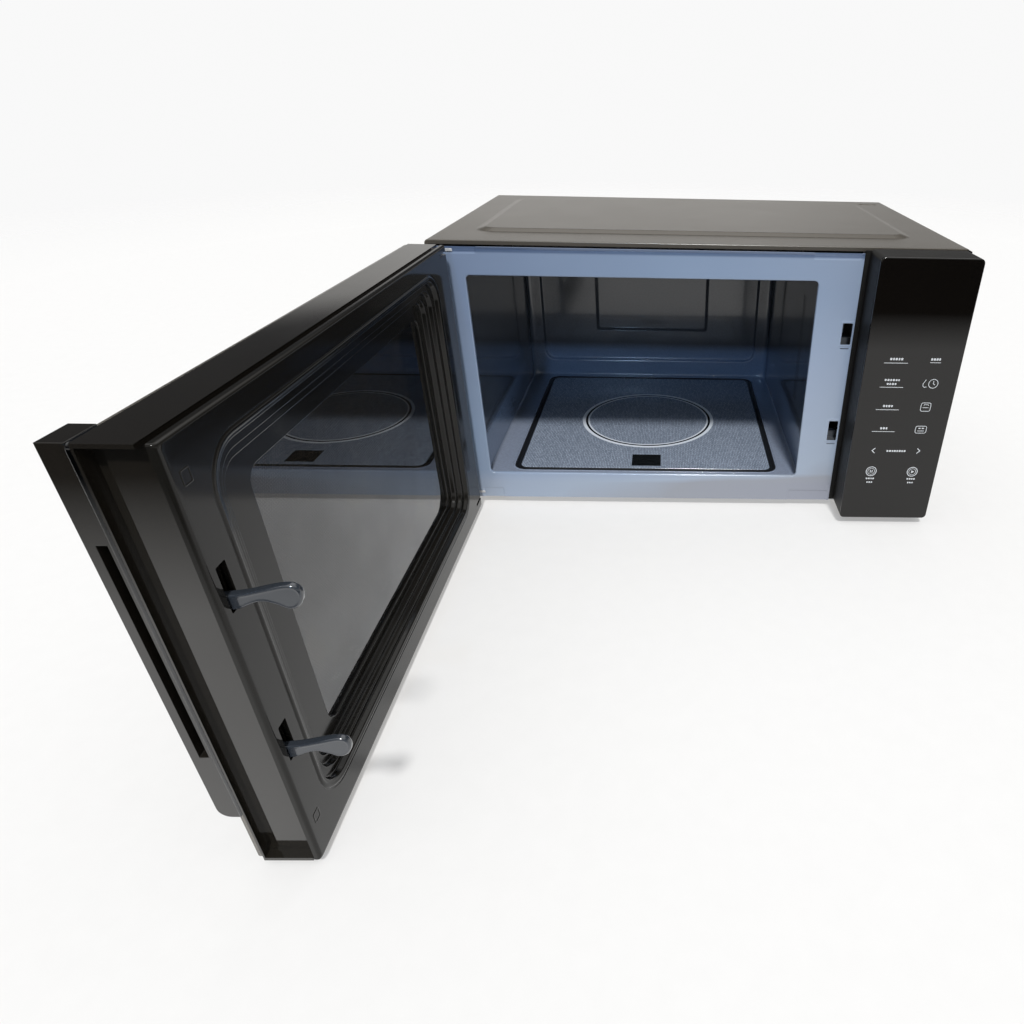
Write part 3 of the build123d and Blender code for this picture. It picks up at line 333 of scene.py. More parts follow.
def ceramic_glass():
    """Dark glass ceramic with a fine woven speckle, a printed ring and a plain printed field."""
    t = Tree("speckled_glass_ceramic")
    sep = t.node("ShaderNodeSeparateXYZ")
    t.link(t.coord, sep.inputs[0])
    dx = t.math("SUBTRACT", sep.outputs["X"], -0.0515)
    dy = t.math("SUBTRACT", sep.outputs["Y"], -0.0095)
    radius = t.math("SQRT", t.math("ADD", t.math("MULTIPLY", dx, dx), t.math("MULTIPLY", dy, dy)))
    cloud = t.noise(11.0, 3.0, 0.5)
    grain = t.noise(1.0, 1.0, 0.5, t.scaled(900.0, 260.0, 400.0))
    wander = t.math("MULTIPLY", t.math("SUBTRACT", t.noise(70.0, 2.0, 0.5), 0.5), 1.6)
    place = t.node("ShaderNodeCombineXYZ")
    t.link(t.math("MULTIPLY", sep.outputs["Y"], 1000.0), place.inputs[0])
    t.link(t.math("ADD", t.math("MULTIPLY", sep.outputs["X"], 1000.0), wander), place.inputs[1])
    dash = t.node("ShaderNodeTexBrick")
    dash.offset = 0.37
    t.link(place.outputs[0], dash.inputs["Vector"])
    for key, value in (("Scale", 1.0), ("Mortar Size", 0.36), ("Mortar Smooth", 0.7), ("Bias", 0.0), ("Brick Width", 5.6), ("Row Height", 1.85)):
        dash.inputs[key].default_value = value
    dash.inputs["Color1"].default_value = (0.210, 0.250, 0.322, 1)
    dash.inputs["Color2"].default_value = (0.325, 0.380, 0.470, 1)
    dash.inputs["Mortar"].default_value = (0.060, 0.074, 0.102, 1)
    level = t.math("ADD", grain, t.math("MULTIPLY", t.math("SUBTRACT", cloud, 0.5), 0.15))
    weave = grain
    fleck = t.ramp(level, [(0.36, (0.110, 0.132, 0.172)), (0.50, (0.235, 0.280, 0.355)), (0.62, (0.290, 0.340, 0.420))])
    body = t.mix(0.28, dash.outputs["Color"], fleck)
    ring = t.ramp(t.math("MULTIPLY", radius, 10.0), [
        (0.0, (0, 0, 0)), (0.748, (0, 0, 0)), (0.753, (1, 1, 1)), (0.768, (1, 1, 1)), (0.773, (0, 0, 0)),
        (0.797, (0, 0, 0)), (0.802, (1, 1, 1)), (0.836, (1, 1, 1)), (0.842, (0, 0, 0))])
    gap = t.ramp(t.math("MULTIPLY", radius, 10.0), [
        (0.0, (0, 0, 0)), (0.769, (0, 0, 0)), (0.774, (1, 1, 1)), (0.797, (1, 1, 1)), (0.801, (0, 0, 0))])
    col = t.mix(gap, body, (0.006, 0.007, 0.009))
    col = t.mix(t.math("MULTIPLY", ring, 0.94), col, (0.70, 0.75, 0.82))
    # plain printed field near the front edge
    px = t.math("COMPARE", sep.outputs["X"], -0.0508, 0.0165)
    py = t.math("COMPARE", sep.outputs["Y"], -0.1262, 0.0140)
    col = t.mix(t.math("MULTIPLY", px, py), col, (0.004, 0.005, 0.006))
    ro = t.spread(t.noise(40.0, 3.0), 0.10, 0.18)
    nrm = t.bump(weave, 0.00001)
    return t.done(t.shade(col, ro, nrm, Coat_Weight=0.3, Coat_Roughness=0.06))


M["ceramic_glass"] = ceramic_glass()


def tinted_glass(name, body, tone, rough=0.012, shine=1.0):
    """Glass that shows what is behind it, with a slightly uneven tone."""
    t = Tree(name)
    fr = t.node("ShaderNodeFresnel")
    fr.inputs["IOR"].default_value = 1.5
    smear = t.noise(14.0, 3.0)
    see = t.node("ShaderNodeBsdfTransparent")
    t.link(t.ramp(smear, [(0.3, tint(tone, 0.96)), (0.7, tint(tone, 1.04))]), see.inputs["Color"])
    face = t.shade(t.ramp(smear, [(0.3, tint(body, 0.9)), (0.7, tint(body, 1.1))]), t.spread(smear, rough, rough * 1.8), None, Metallic=1.0)
    mixer = t.node("ShaderNodeMixShader")
    fac = t.math("MINIMUM", t.math("ADD", t.math("MULTIPLY", fr.outputs[0], shine), 0.02), 1.0)
    rear = t.node("ShaderNodeNewGeometry").outputs["Backfacing"]
    fac = t.math("MULTIPLY", fac, t.math("SUBTRACT", 1.0, rear))
    t.link(fac, mixer.inputs[0])
    t.link(see.outputs[0], mixer.inputs[1])
    t.link(face, mixer.inputs[2])
    return t.done(mixer.outputs[0])


M["clear_glass"] = tinted_glass("tinted_door_glass", (0.92, 0.93, 0.95), (0.40, 0.385, 0.36), shine=1.25)
M["window_glass"] = tinted_glass("coated_window_glass", (0.92, 0.93, 0.95), (0.42, 0.405, 0.38), rough=0.008, shine=1.3)
M["lamp_glass"] = tinted_glass("lamp_glass", (0.95, 0.95, 0.95), (0.92, 0.92, 0.90))

# ---------------------------------------------------------------------------
# Modelling helpers. Shapes are written in millimetres.
# ---------------------------------------------------------------------------

slot_of = {s["node"]: s["material_slot"] for s in frame["record"]["subparts"]}


def place(axis, w, u, v):
    """Point at height w along axis: x takes (y, z), y takes (x, z), z takes (x, y)."""
    if axis == "x":
        return Vector((w, u, v)) * MM
    if axis == "y":
        return Vector((u, w, v)) * MM
    return Vector((u, v, w)) * MM


def rrect(u0, u1, v0, v1, r, n=8):
    """Rounded rectangle as a list of points, anticlockwise, 4 * (n + 1) of them."""
    pts = []
    r = max(r, 0.01)
    for cu, cv, a0 in ((u1 - r, v0 + r, -90), (u1 - r, v1 - r, 0), (u0 + r, v1 - r, 90), (u0 + r, v0 + r, 180)):
        for k in range(n + 1):
            a = math.radians(a0 + 90.0 * k / n)
            pts.append((cu + r * math.cos(a), cv + r * math.sin(a)))
    return pts


def circle(cu, cv, r, n=24):
    return [(cu + r * math.cos(2 * math.pi * k / n), cv + r * math.sin(2 * math.pi * k / n)) for k in range(n)]


def stadium(cu, cv, length, width, n=6):
    """Slot outline, long along v."""
    r = width / 2
    h = length / 2 - r
    pts = []
    for k in range(n + 1):
        a = math.pi * k / n
        pts.append((cu + r * math.cos(a), cv + h + r * math.sin(a)))
    for k in range(n + 1):
        a = math.pi + math.pi * k / n
        pts.append((cu + r * math.cos(a), cv - h + r * math.sin(a)))
    return pts


def loft(bm, axis, rings, cap0=False, cap1=False, wrap=False, mats=None):
    """Joins rings of equal count, given as (w, points), with quads."""
    rows = [[bm.verts.new(place(axis, w, u, v)) for u, v in pts] for w, pts in rings]
    count = len(rows[0])
    faces = []
    pairs = list(zip(rows, rows[1:])) + ([(rows[-1], rows[0])] if wrap else [])
    for i, (a, b) in enumerate(pairs):
        for k in range(count):
            f = bm.faces.new((a[k], a[(k + 1) % count], b[(k + 1) % count], b[k]))
            if mats:
                f.material_index = mats[min(i, len(mats) - 1)]
            faces.append(f)
    if cap0:
        faces.append(bm.faces.new(list(reversed(rows[0]))))
    if cap1:
        faces.append(bm.faces.new(rows[-1]))
    return rows, faces


def prism(bm, axis, pts, w0, w1):
    loft(bm, axis, [(w0, pts), (w1, pts)], True, True)


def lathe(bm, axis, cu, cv, profile, n=32, cap0=True, cap1=True):
    """profile is (w, radius) from one end to the other."""
    loft(bm, axis, [(w, circle(cu, cv, max(r, 0.02), n)) for w, r in profile], cap0, cap1)


def box(bm, x0, x1, y0, y1, z0, z1):
    prism(bm, "z", [(x0, y0), (x1, y0), (x1, y1), (x0, y1)], z0, z1)


def tidy(bm, sharp):
    bmesh.ops.recalc_face_normals(bm, faces=bm.faces)
    mark(bm, sharp)


def mark(bm, sharp):
    for f in bm.faces:
        f.smooth = True
    for e in bm.edges:
        if len(e.link_faces) == 2:
            e.smooth = e.calc_face_angle(0) < math.radians(sharp)


def raw(name, bm, sharp=35.0, keep_winding=False):
    if keep_winding:
        mark(bm, sharp)
    else:
        tidy(bm, sharp)
    me = bpy.data.meshes.new(name)
    bm.to_mesh(me)
    bm.free()
    o = bpy.data.objects.new(name, me)
    scene.collection.objects.link(o)
    return o


def apply_all(o):
    """Makes the modifiers' result the mesh itself."""
    dg = bpy.context.evaluated_depsgraph_get()
    me = bpy.data.meshes.new_from_object(o.evaluated_get(dg), preserve_all_data_layers=True, depsgraph=dg)
    old = o.data
    o.modifiers.clear()
    o.data = me
    bpy.data.meshes.remove(old)


def thicken(o, t, offset=-1.0):
    m = o.modifiers.new("sheet", "SOLIDIFY")
    m.thickness = t * MM
    m.offset = offset
    m.use_even_offset = True
    m.use_quality_normals = True
    apply_all(o)


def cut(o, *cutters, keep=False):
    """Takes closed cutter meshes, given as bmesh, out of o."""
    for i, bm in enumerate(cutters):
        c = raw("cutter", bm)
        m = o.modifiers.new("cut", "BOOLEAN")
        m.operation = "DIFFERENCE"
        m.solver = "EXACT"
        m.object = c
        apply_all(o)
        data = c.data
        bpy.data.objects.remove(c)
        bpy.data.meshes.remove(data)


def bevel(o, width, segments=2, angle=30.0):
    b = o.modifiers.new("edges", "BEVEL")
    b.width = width * MM
    b.segments = segments
    b.limit_method = "ANGLE"
    b.angle_limit = math.radians(angle)
    b.use_clamp_overlap = True
    b.miter_outer = "MITER_ARC"


def clean(o, sharp=35.0, merge=1e-6):
    """Welds, drops loose bits and slivers, and marks sharp edges again."""
    bm = bmesh.new()
    bm.from_mesh(o.data)
    bmesh.ops.remove_doubles(bm, verts=bm.verts, dist=merge)
    bmesh.ops.dissolve_degenerate(bm, edges=bm.edges, dist=merge)
    loose = [v for v in bm.verts if not v.link_faces]
    bmesh.ops.delete(bm, geom=loose, context="VERTS")
    mark(bm, sharp)
    bm.to_mesh(o.data)
    bm.free()


def weigh(o):
    n = o.modifiers.new("normals", "WEIGHTED_NORMAL")
    n.keep_sharp = True
    n.weight = 100


def publish(o, mats, body, stands_for=(), smooth=True):
    o.data.materials.clear()
    for m in [mats] if isinstance(mats, (str, bpy.types.Material)) else mats:
        o.data.materials.append(M[m] if isinstance(m, str) else m)
    if smooth:
        weigh(o)
    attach(o, body)
    if stands_for:
        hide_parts(*([stands_for] if isinstance(stands_for, str) else stands_for))
    return o


def copy_of(node, name):
    """A new piece that starts from a CAD node's shape."""
    bm = bmesh.new()
    bm.from_mesh(nodes[node].data)
    bmesh.ops.remove_doubles(bm, verts=bm.verts, dist=1e-6)
    bmesh.ops.dissolve_limit(bm, angle_limit=math.radians(0.5), verts=bm.verts, edges=bm.edges)
    return raw(name, bm)


def ramp01(t, soft=0.14):
    """0 to 1 as t goes 0 to 1, straight in between, rounded at both ends."""
    if t <= -soft:
        return 0.0
    if t >= 1 + soft:
        return 1.0
    if t < soft:
        return (t + soft) ** 2 / (4 * soft)
    if t > 1 - soft:
        return 1 - (1 + soft - t) ** 2 / (4 * soft)
    return t


def lines(*spans):
    """Sorted grid lines from (start, stop, step) spans and single numbers."""
    out = []
    for s in spans:
        if isinstance(s, tuple):
            a, b, step = s
            n = max(1, round((b - a) / step))
            out += [a + (b - a) * k / n for k in range(n + 1)]
        else:
            out.append(s)
    out = sorted(out)
    return [v for i, v in enumerate(out) if i == 0 or v - out[i - 1] > 0.05]


def inside(u, v, u0, u1, v0, v1, r):
    """Distance from a rounded rectangle's outline, positive inside."""
    du = abs(u - (u0 + u1) / 2) - ((u1 - u0) / 2 - r)
    dv = abs(v - (v0 + v1) / 2) - ((v1 - v0) / 2 - r)
    return r - (math.hypot(max(du, 0), max(dv, 0)) + min(max(du, dv), 0))


# ---------------------------------------------------------------------------
# Cabinet wrap: rolled front hem, pressed field, dimple, punched air slots
# ---------------------------------------------------------------------------


def cabinet_wrap():
    top = lines(-252.5, -249.0, -240.0, -230.0, (-224.5, -219.5, 0.6), -217.5, -215.5, (-214.5, -209.5, 0.6), -206.0, (-206.0, -192.0, 2.3), -175.0, -120.0, -60.0,
                0.0, 60.0, 120.0, 170.0, (187.0, 201.0, 2.3), (202.0, 205.0, 1.0), (205.0, 210.4, 0.6), 212.5, (214.5, 219.0, 0.6), (220.0, 246.0, 1.5), 249.0, 252.5)
    section = []  # x, z, inward x, inward z
    for z in (9.0, 30.0, 70.0, 120.0, 170.0, 215.0, 255.0, 272.0):
        section.append((-256.5, z, 1.0, 0.0))
    for k in range(7):
        a = math.radians(180 - 15 * k)
        section.append((-252.5 + 4 * math.cos(a), 275.3 + 4 * math.sin(a), -math.cos(a), -math.sin(a)))
    for x in top[1:-1]:
        section.append((x, 279.3, 0.0, -1.0))
    for k in range(7):
        a = math.radians(90 - 15 * k)
        section.append((252.5 + 4 * math.cos(a), 275.3 + 4 * math.sin(a), -math.cos(a), -math.sin(a)))
    for z in (272.0, 255.0, 215.0, 170.0, 120.0, 70.0, 30.0, 9.0):
        section.append((256.5, z, -1.0, 0.0))
    rows = [(-155.0, 3.9)]
    for k in range(6, -1, -1):
        a = math.radians(15 * k)
        rows.append((-154.1 - 0.9 * math.sin(a), 0.9 * (1 - math.cos(a))))
    rows += [(y, 0.0) for y in lines(-150.0, -140.0, -128.0, -118.0, (-111.5, -106.5, 0.6), -104.5, -102.5, (-101.5, -97.0, 0.6), (-95.0, -78.0, 2.5),
                                     -60.0, -20.0, 20.0, 60.0, 90.0, (100.0, 114.0, 2.4), (114.0, 118.0, 1.0), (118.2, 123.5, 0.6), 125.5, (127.5, 132.5, 0.6), (133.5, 146.0, 1.25), 155.0, 163.6)]

    def lift(x, y):
        d = inside(x, y, -222.0, 217.0, -109.0, 130.0, 20.0)
        h = 2.4 * ramp01(d / 9.0, 0.07)
        # oval dimple at the rear right corner
        e = math.hypot((x - 231.2) / 11.5, (y - 137.4) / 5.6)
        return h - 1.5 * (1 - ramp01((e - 0.62) / 0.38, 0.2))

    bm = bmesh.new()
    grid = []
    for y, off in rows:
        line = []
        for x, z, nx, nz in section:
            h = lift(x, y) if off == 0.0 and nz == -1.0 and abs(x) < 251 else 0.0
            line.append(bm.verts.new(Vector((x + nx * off, y, z + nz * off + h)) * MM))
        grid.append(line)
    for a, b in zip(grid, grid[1:]):
        for k in range(len(a) - 1):
            f = bm.faces.new((a[k], b[k], b[k + 1], a[k + 1]))
            c = f.calc_center_median() / MM
            if math.hypot((c.x - 231.2) / 11.5, (c.y - 137.4) / 5.6) < 0.70 and c.z > 270:
                f.material_index = 1
            # painted shade: the front face of the rolled hem takes the matt black
            if a[0].co.y < -0.15499 and b[0].co.y < -0.1545 and c.x > -256.0 and c.z > 200.0:
                f.material_index = 2
    bm.normal_update()
    top_face = max(bm.faces, key=lambda f: f.calc_center_median().z)
    if top_face.normal.z < 0:
        bmesh.ops.reverse_faces(bm, faces=bm.faces)
    o = raw("cabinet_wrap", bm, keep_winding=True)
    thicken(o, 0.8)
    c = bmesh.new()
    for i in range(10):
        for j in range(4):
            prism(c, "x", stadium(112 + (i - 4.5) * 7, 130 + (j - 1.5) * 27, 20, 2.8), 250, 262)
    for i in range(9):
        for j in range(2):
            prism(c, "x", stadium(105 + (i - 4) * 7, 232 + (j - 0.5) * 27, 20, 2.8), -262, -250)
    cut(o, c)
    clean(o)
    return publish(o, ["cabinet_coat", "plastic_black", "black_matt"], "cabinet", "outer_cabinet")


# ---------------------------------------------------------------------------
# Front plate: pressed pads, rolled mouth, latch slots with raised rims
# ---------------------------------------------------------------------------

MOUTH = (-219.6, 114.5, 39.1, 249.2)


def front_flange():
    xs = lines(-253.4, -252.6, -246.0, (-241.0, -238.5, 0.6), (-232.0, -228.5, 0.6), -222.0, (-209.0, -205.5, 0.6), -150.0, -80.0, 0.0, 60.0,
               (106.0, 109.0, 0.6), 125.0, (139.0, 142.6, 0.5), 148.0, (150.6, 154.7, 0.5))
    zs = lines(272.5, 272.6, 273.8, 275.0, 9.0, 11.0, 15.0, (18.8, 23.0, 0.6), 30.0, 60.0, (79.6, 83.2, 0.5), 94.0, (105.2, 108.6, 0.5), 150.0, (184.6, 188.2, 0.5), 199.0,
               (209.4, 212.8, 0.5), 240.0, 260.0, (267.2, 271.6, 0.6))

    def pad(x, z, x0, x1, z0, z1):
        return ramp01(inside(x, z, x0, x1, z0, z1, 1.6) / 1.2, 0.25)

    def depth(x, z):
        d = 0.55 * max(
            pad(x, z, -230.5, -207.5, -10, 20.4),
            pad(x, z, 107.4, 152.4, -10, 21.4),
            pad(x, z, 107.0, 152.4, 269.4, 300),
            pad(x, z, -240.0, -207.0, 269.0, 300),
        )
        for z0, z1 in ((188.0, 209.6), (83.0, 105.5)):
            e = inside(x, z, 143.1 - 2.4, 152.9 + 1.4, z0 - 2.4, z1 + 2.4, 2.0)
            d -= 0.35 * ramp01(e / 0.9, 0.25)
        if z > 272.55:
            d = max(d, 0.70 * (275.0 - z) / 2.4)
        return d

    bm = bmesh.new()
    grid = [[bm.verts.new(Vector((x, -164.0 + depth(x, z), z)) * MM) for x in xs] for z in zs]
    for a, b in zip(grid, grid[1:]):
        for k in range(len(a) - 1):
            bm.faces.new((a[k], a[k + 1], b[k + 1], b[k]))
    bm.normal_update()
    o = raw("front_flange", bm, keep_winding=True)
    thicken(o, 0.8)
    c = bmesh.new()
    prism(c, "y", rrect(MOUTH[0] - 1.2, MOUTH[1] + 1.2, MOUTH[2] - 1.2, MOUTH[3] + 1.2, 5.2), -170, -158)
    for z0, z1 in ((188.0, 209.6), (83.0, 105.5)):
        prism(c, "y", rrect(143.1, 152.9, z0, z1, 1.0, 4), -170, -158)
        prism(c, "y", rrect(143.6, 152.4, z0 - 4.6, z0 - 3.6, 0.4, 3), -170, -158)
    prism(c, "y", rrect(-253.1, -236.9, 270.8, 273.2, 0.5, 3), -170, -158)
    prism(c, "y", rrect(-253.1, -236.9, 13.8, 16.2, 0.5, 3), -170, -158)
    cut(o, c)
    clean(o)
    bm = bmesh.new()
    bm.from_mesh(o.data)
    # rolled lip of the mouth
    x0, x1, z0, z1 = MOUTH
    rings = []
    for k in range(7):
        a = math.radians(15 * k)
        out = 1.2 * (1 - math.sin(a))
        rings.append((-164.0 + 1.2 * (1 - math.cos(a)), rrect(x0 - out, x1 + out, z0 - out, z1 + out, 4 + out)))
    rings.append((-161.0, rrect(x0, x1, z0, z1, 4.0)))
    rings.append((-161.0, rrect(x0 - 0.8, x1 + 0.8, z0 - 0.8, z1 + 0.8, 4.8)))
    rings.append((-163.2, rrect(x0 - 1.2, x1 + 1.2, z0 - 1.2, z1 + 1.2, 5.2)))
    loft(bm, "y", rings, wrap=True)
    # part that runs on behind the control housing, and the returns
    box(bm, 154.0, 253.4, -162.8, -162.0, 9.0, 60.0)
    box(bm, 154.0, 176.0, -162.8, -162.0, 60.0, 245.0)
    box(bm, 236.0, 253.4, -162.8, -162.0, 60.0, 245.0)
    box(bm, 154.0, 253.4, -162.8, -162.0, 245.0, 275.0)
    # top return behind the plate, coloured matt black as painted shade
    n_dark = len(bm.faces)
    box(bm, -253.0, 253.0, -163.0, -150.0, 271.2, 271.9)
    n_pale = len(bm.faces)
    box(bm, -253.4, -252.6, -163.1, -153.0, 24.0, 274.0)
    box(bm, 252.6, 253.4, -161.9, -153.0, 24.0, 274.0)
    bm.faces.ensure_lookup_table()
    bm.normal_update()
    for f in bm.faces[n_dark:n_pale]:
        f.material_index = 1
    # painted shade: upward faces along the top edge take the matt black
    for f in bm.faces:
        q = f.calc_center_median() / MM
        if f.normal.z > 0.6 and q.z > 274.4:
            f.material_index = 1
        # painted shade: the face of the top strip takes the darker enamel copy
        elif q.z > 272.55 and q.y < -162.9 and f.material_index == 0:
            f.material_index = 2
    mark(bm, 35)
    bm.to_mesh(o.data)
    bm.free()
    return publish(o, ["front_coat", "black_matt", "front_rim_painted_shade"], "cabinet", "front_plate")


# ---------------------------------------------------------------------------
# Cavity: rounded corners, pressed rear wall, perforations
# ---------------------------------------------------------------------------


def cavity_shell():
    bm = bmesh.new()
    x0, x1, z0, z1 = -223.4, 117.9, 37.0, 256.0
    rings = [(y, rrect(x0, x1, z0, z1, 2.5)) for y in (-163.2, -155.0, -120.0, -60.0, 0.0, 60.0, 120.0, 138.0)]
    rings = [(-163.2, rings[0][1])] + rings[1:]
    for k in range(0, 7):
        a = math.radians(15 * k)
        w = 6.0 * (1 - math.cos(a))
        rings.append((141.0 + 6.0 * math.sin(a), rrect(x0 + w, x1 - w, z0 + w * 0.5, z1 - w * 0.5, 2.5 + w * 1.1)))
    # flat border, then a pressed panel with a raised field
    rings.append((147.1, rrect(-212.0, 106.6, 44.6, 248.5, 13)))
    rings.append((147.1, rrect(-206.5, 101.4, 59.0, 239.0, 15)))
    for k in range(1, 6):
        t = math.radians(18 * k)
        e = 2.0 * math.sin(t)
        rings.append((147.1 + 2.0 * (1 - math.cos(t)), rrect(-206.5 + e, 101.4 - e, 59.0 + e, 239.0 - e, 15 - e * 0.6)))
    for k in range(1, 6):
        t = math.radians(18 * k)
        e = 2.4 + 2.0 * (1 - math.cos(t))
        rings.append((149.6 + 2.4 * math.sin(t), rrect(-206.5 + e, 101.4 - e, 59.0 + e, 239.0 - e, 13.6 - e * 0.4)))
    rings.append((152.0, rrect(-190.0, 85.0, 75.0, 224.0, 8)))
    rings.append((152.0, rrect(-130.0, 30.5, 103.0, 203.5, 5)))
    rings.append((151.8, rrect(-128.4, 28.9, 104.6, 201.9, 4)))
    rings.append((150.4, rrect(-126.0, 26.5, 107.0, 199.5, 3)))
    rings.append((150.2, rrect(-124.4, 24.9, 108.6, 197.9, 2.5)))
    loft(bm, "y", rings, cap1=True)
    bm.normal_update()
    floor = min(bm.faces, key=lambda f: f.calc_center_median().z)
    if floor.normal.z < 0:
        bmesh.ops.reverse_faces(bm, faces=bm.faces)
    o = raw("cavity_shell", bm, keep_winding=True)
    thicken(o, 0.8)
    c = bmesh.new()
    prism(c, "z", rrect(-51 - 147, -51 + 147, -5.5 - 147, -5.5 + 147, 14), 30, 39)
    prism(c, "z", rrect(-181, 76, -121, 81, 3, 4), 250, 262)
    d = bmesh.new()
    for i in range(4):
        for j in range(27):
            prism(d, "x", circle(-91 + (i - 1.5) * 4.4, 159 + (j - 13) * 4.4, 1.4, 12), 110, 125)
    for i in range(9):
        for j in range(3):
            prism(d, "x", circle(60 + (i - 4) * 5, 236 + (j - 1) * 5, 1.4, 12), -230, -215)
    cut(o, c, d)
    clean(o)
    bm = bmesh.new()
    bm.from_mesh(o.data)
    # raised bead around the floor opening
    rings = []
    for w, up in ((0.0, 36.9), (0.0, 37.12), (0.35, 37.45), (0.9, 37.6), (1.5, 37.45), (1.9, 37.1), (2.1, 36.9)):
        rings.append((up, rrect(-51 - 147 - w, -51 + 147 + w, -5.5 - 147 - w, -5.5 + 147 + w, 14 + w)))
    loft(bm, "z", rings, wrap=True)
    mark(bm, 35)
    bm.to_mesh(o.data)
    bm.free()
    return publish(o, "cavity_coat", "cabinet", "cavity_liner")


def floor_tile():
    bm = bmesh.new()
    cx, cy, h = -51.0, -5.5, 140.5
    rings = [(33.2, rrect(cx - h + 0.4, cx + h - 0.4, cy - h + 0.4, cy + h - 0.4, 8.6)), (33.6, rrect(cx - h, cx + h, cy - h, cy + h, 9)),
             (36.0, rrect(cx - h, cx + h, cy - h, cy + h, 9))]
    for k in range(1, 6):
        a = math.radians(18 * k)
        w = 1.0 * (1 - math.cos(a))
        rings.append((36.0 + 1.0 * math.sin(a), rrect(cx - h + w, cx + h - w, cy - h + w, cy + h - w, 9 - w)))
    rings.append((37.0, rrect(cx - h + 4, cx + h - 4, cy - h + 4, cy + h - 4, 6)))
    loft(bm, "z", rings, True, True)
    return publish(raw("floor_tile", bm), "ceramic_glass", "cabinet", "floor_plate")


def floor_gasket():
    bm = bmesh.new()
    cx, cy = -51.0, -5.5

    def at(t, z):
        h = 147.0 - 6.5 * t
        return (z, rrect(cx - h, cx + h, cy - h, cy + h, 14 - 5 * t))

    prof = [(0, 33.0), (0, 36.3), (0.05, 36.75), (0.14, 36.95), (0.25, 36.85), (0.36, 36.4), (0.5, 36.1), (0.64, 36.4), (0.76, 36.85), (0.88, 36.98),
            (0.96, 36.8), (1.0, 36.4), (1.0, 33.0)]
    loft(bm, "z", [at(t, z) for t, z in prof], wrap=True)
    return publish(raw("floor_gasket", bm), "seal_black", "cabinet", "floor_seal")


# ---------------------------------------------------------------------------
# Control panel
# ---------------------------------------------------------------------------


def glass_fascia():
    bm = bmesh.new()
    x0, x1, z0, z1, r = 159.5, 252.8, 9.0, 279.3, 4.5
    rings = [(-198.7, rrect(x0 + 0.3, x1 - 0.3, z0 + 0.3, z1 - 0.3, r - 0.3)), (-199.0, rrect(x0, x1, z0, z1, r)), (-200.0, rrect(x0, x1, z0, z1, r))]
    for k in range(1, 6):
        a = math.radians(18 * k)
        w = 0.9 * (1 - math.cos(a))
        rings.append((-200.0 - 0.9 * math.sin(a), rrect(x0 + w, x1 - w, z0 + w, z1 - w, r - w)))
    rings.append((-200.9, rrect(x0 + 5, x1 - 5, z0 + 5, z1 - 5, 2)))
    loft(bm, "y", rings, True, True)
    o = raw("glass_fascia", bm)
    # painted highlight: the left-facing front edge faces take the lighter grey
    for f in o.data.polygons:
        if f.normal.x < -0.25 and f.center.y < -0.1999:
            f.material_index = 1
    return publish(o, ["black_glass", "edge_painted_highlight"], "cabinet", "control_fascia")


def panel_housing():
    bm = bmesh.new()
    x0, x1, z0, z1, r = 159.5, 252.8, 9.0, 279.3, 4.5

    def ring(y, w):
        return (y, rrect(x0 + w, x1 - w, z0 + w, z1 - w, max(r - w, 0.6)))

    loft(bm, "y", [ring(-164.2, 2.4), ring(-164.2, 0.5), ring(-164.7, 0.0), ring(-197.2, 0.0), ring(-197.6, 0.15), ring(-197.8, 0.7), ring(-198.6, 0.7),
                   ring(-198.6, 6.0), ring(-196.4, 6.0), ring(-196.4, 2.4)], wrap=True)
    # skirts beside the housing, with a shallow groove and a rounded front edge
    for a, b, side in ((155.0, 161.7, 1), (250.6, 253.2, -1)):
        prof = [(a, -162.8), (a, -163.6), (a + 0.4, -164.0), (b, -164.0), (b, -162.8)] if side > 0 else [(a, -162.8), (a, -164.0), (b - 0.4, -164.0), (b, -163.6), (b, -162.8)]
        loft(bm, "z", [(10.5, prof), (278.0, prof)], True, True)
    side = rrect(253.5, 254.6, -164.0, -155.3, 0.4, 3)
    loft(bm, "z", [(9.6, side), (278.4, side)], True, True)
    return publish(raw("panel_housing", bm), "black_matt", "cabinet", "control_housing")


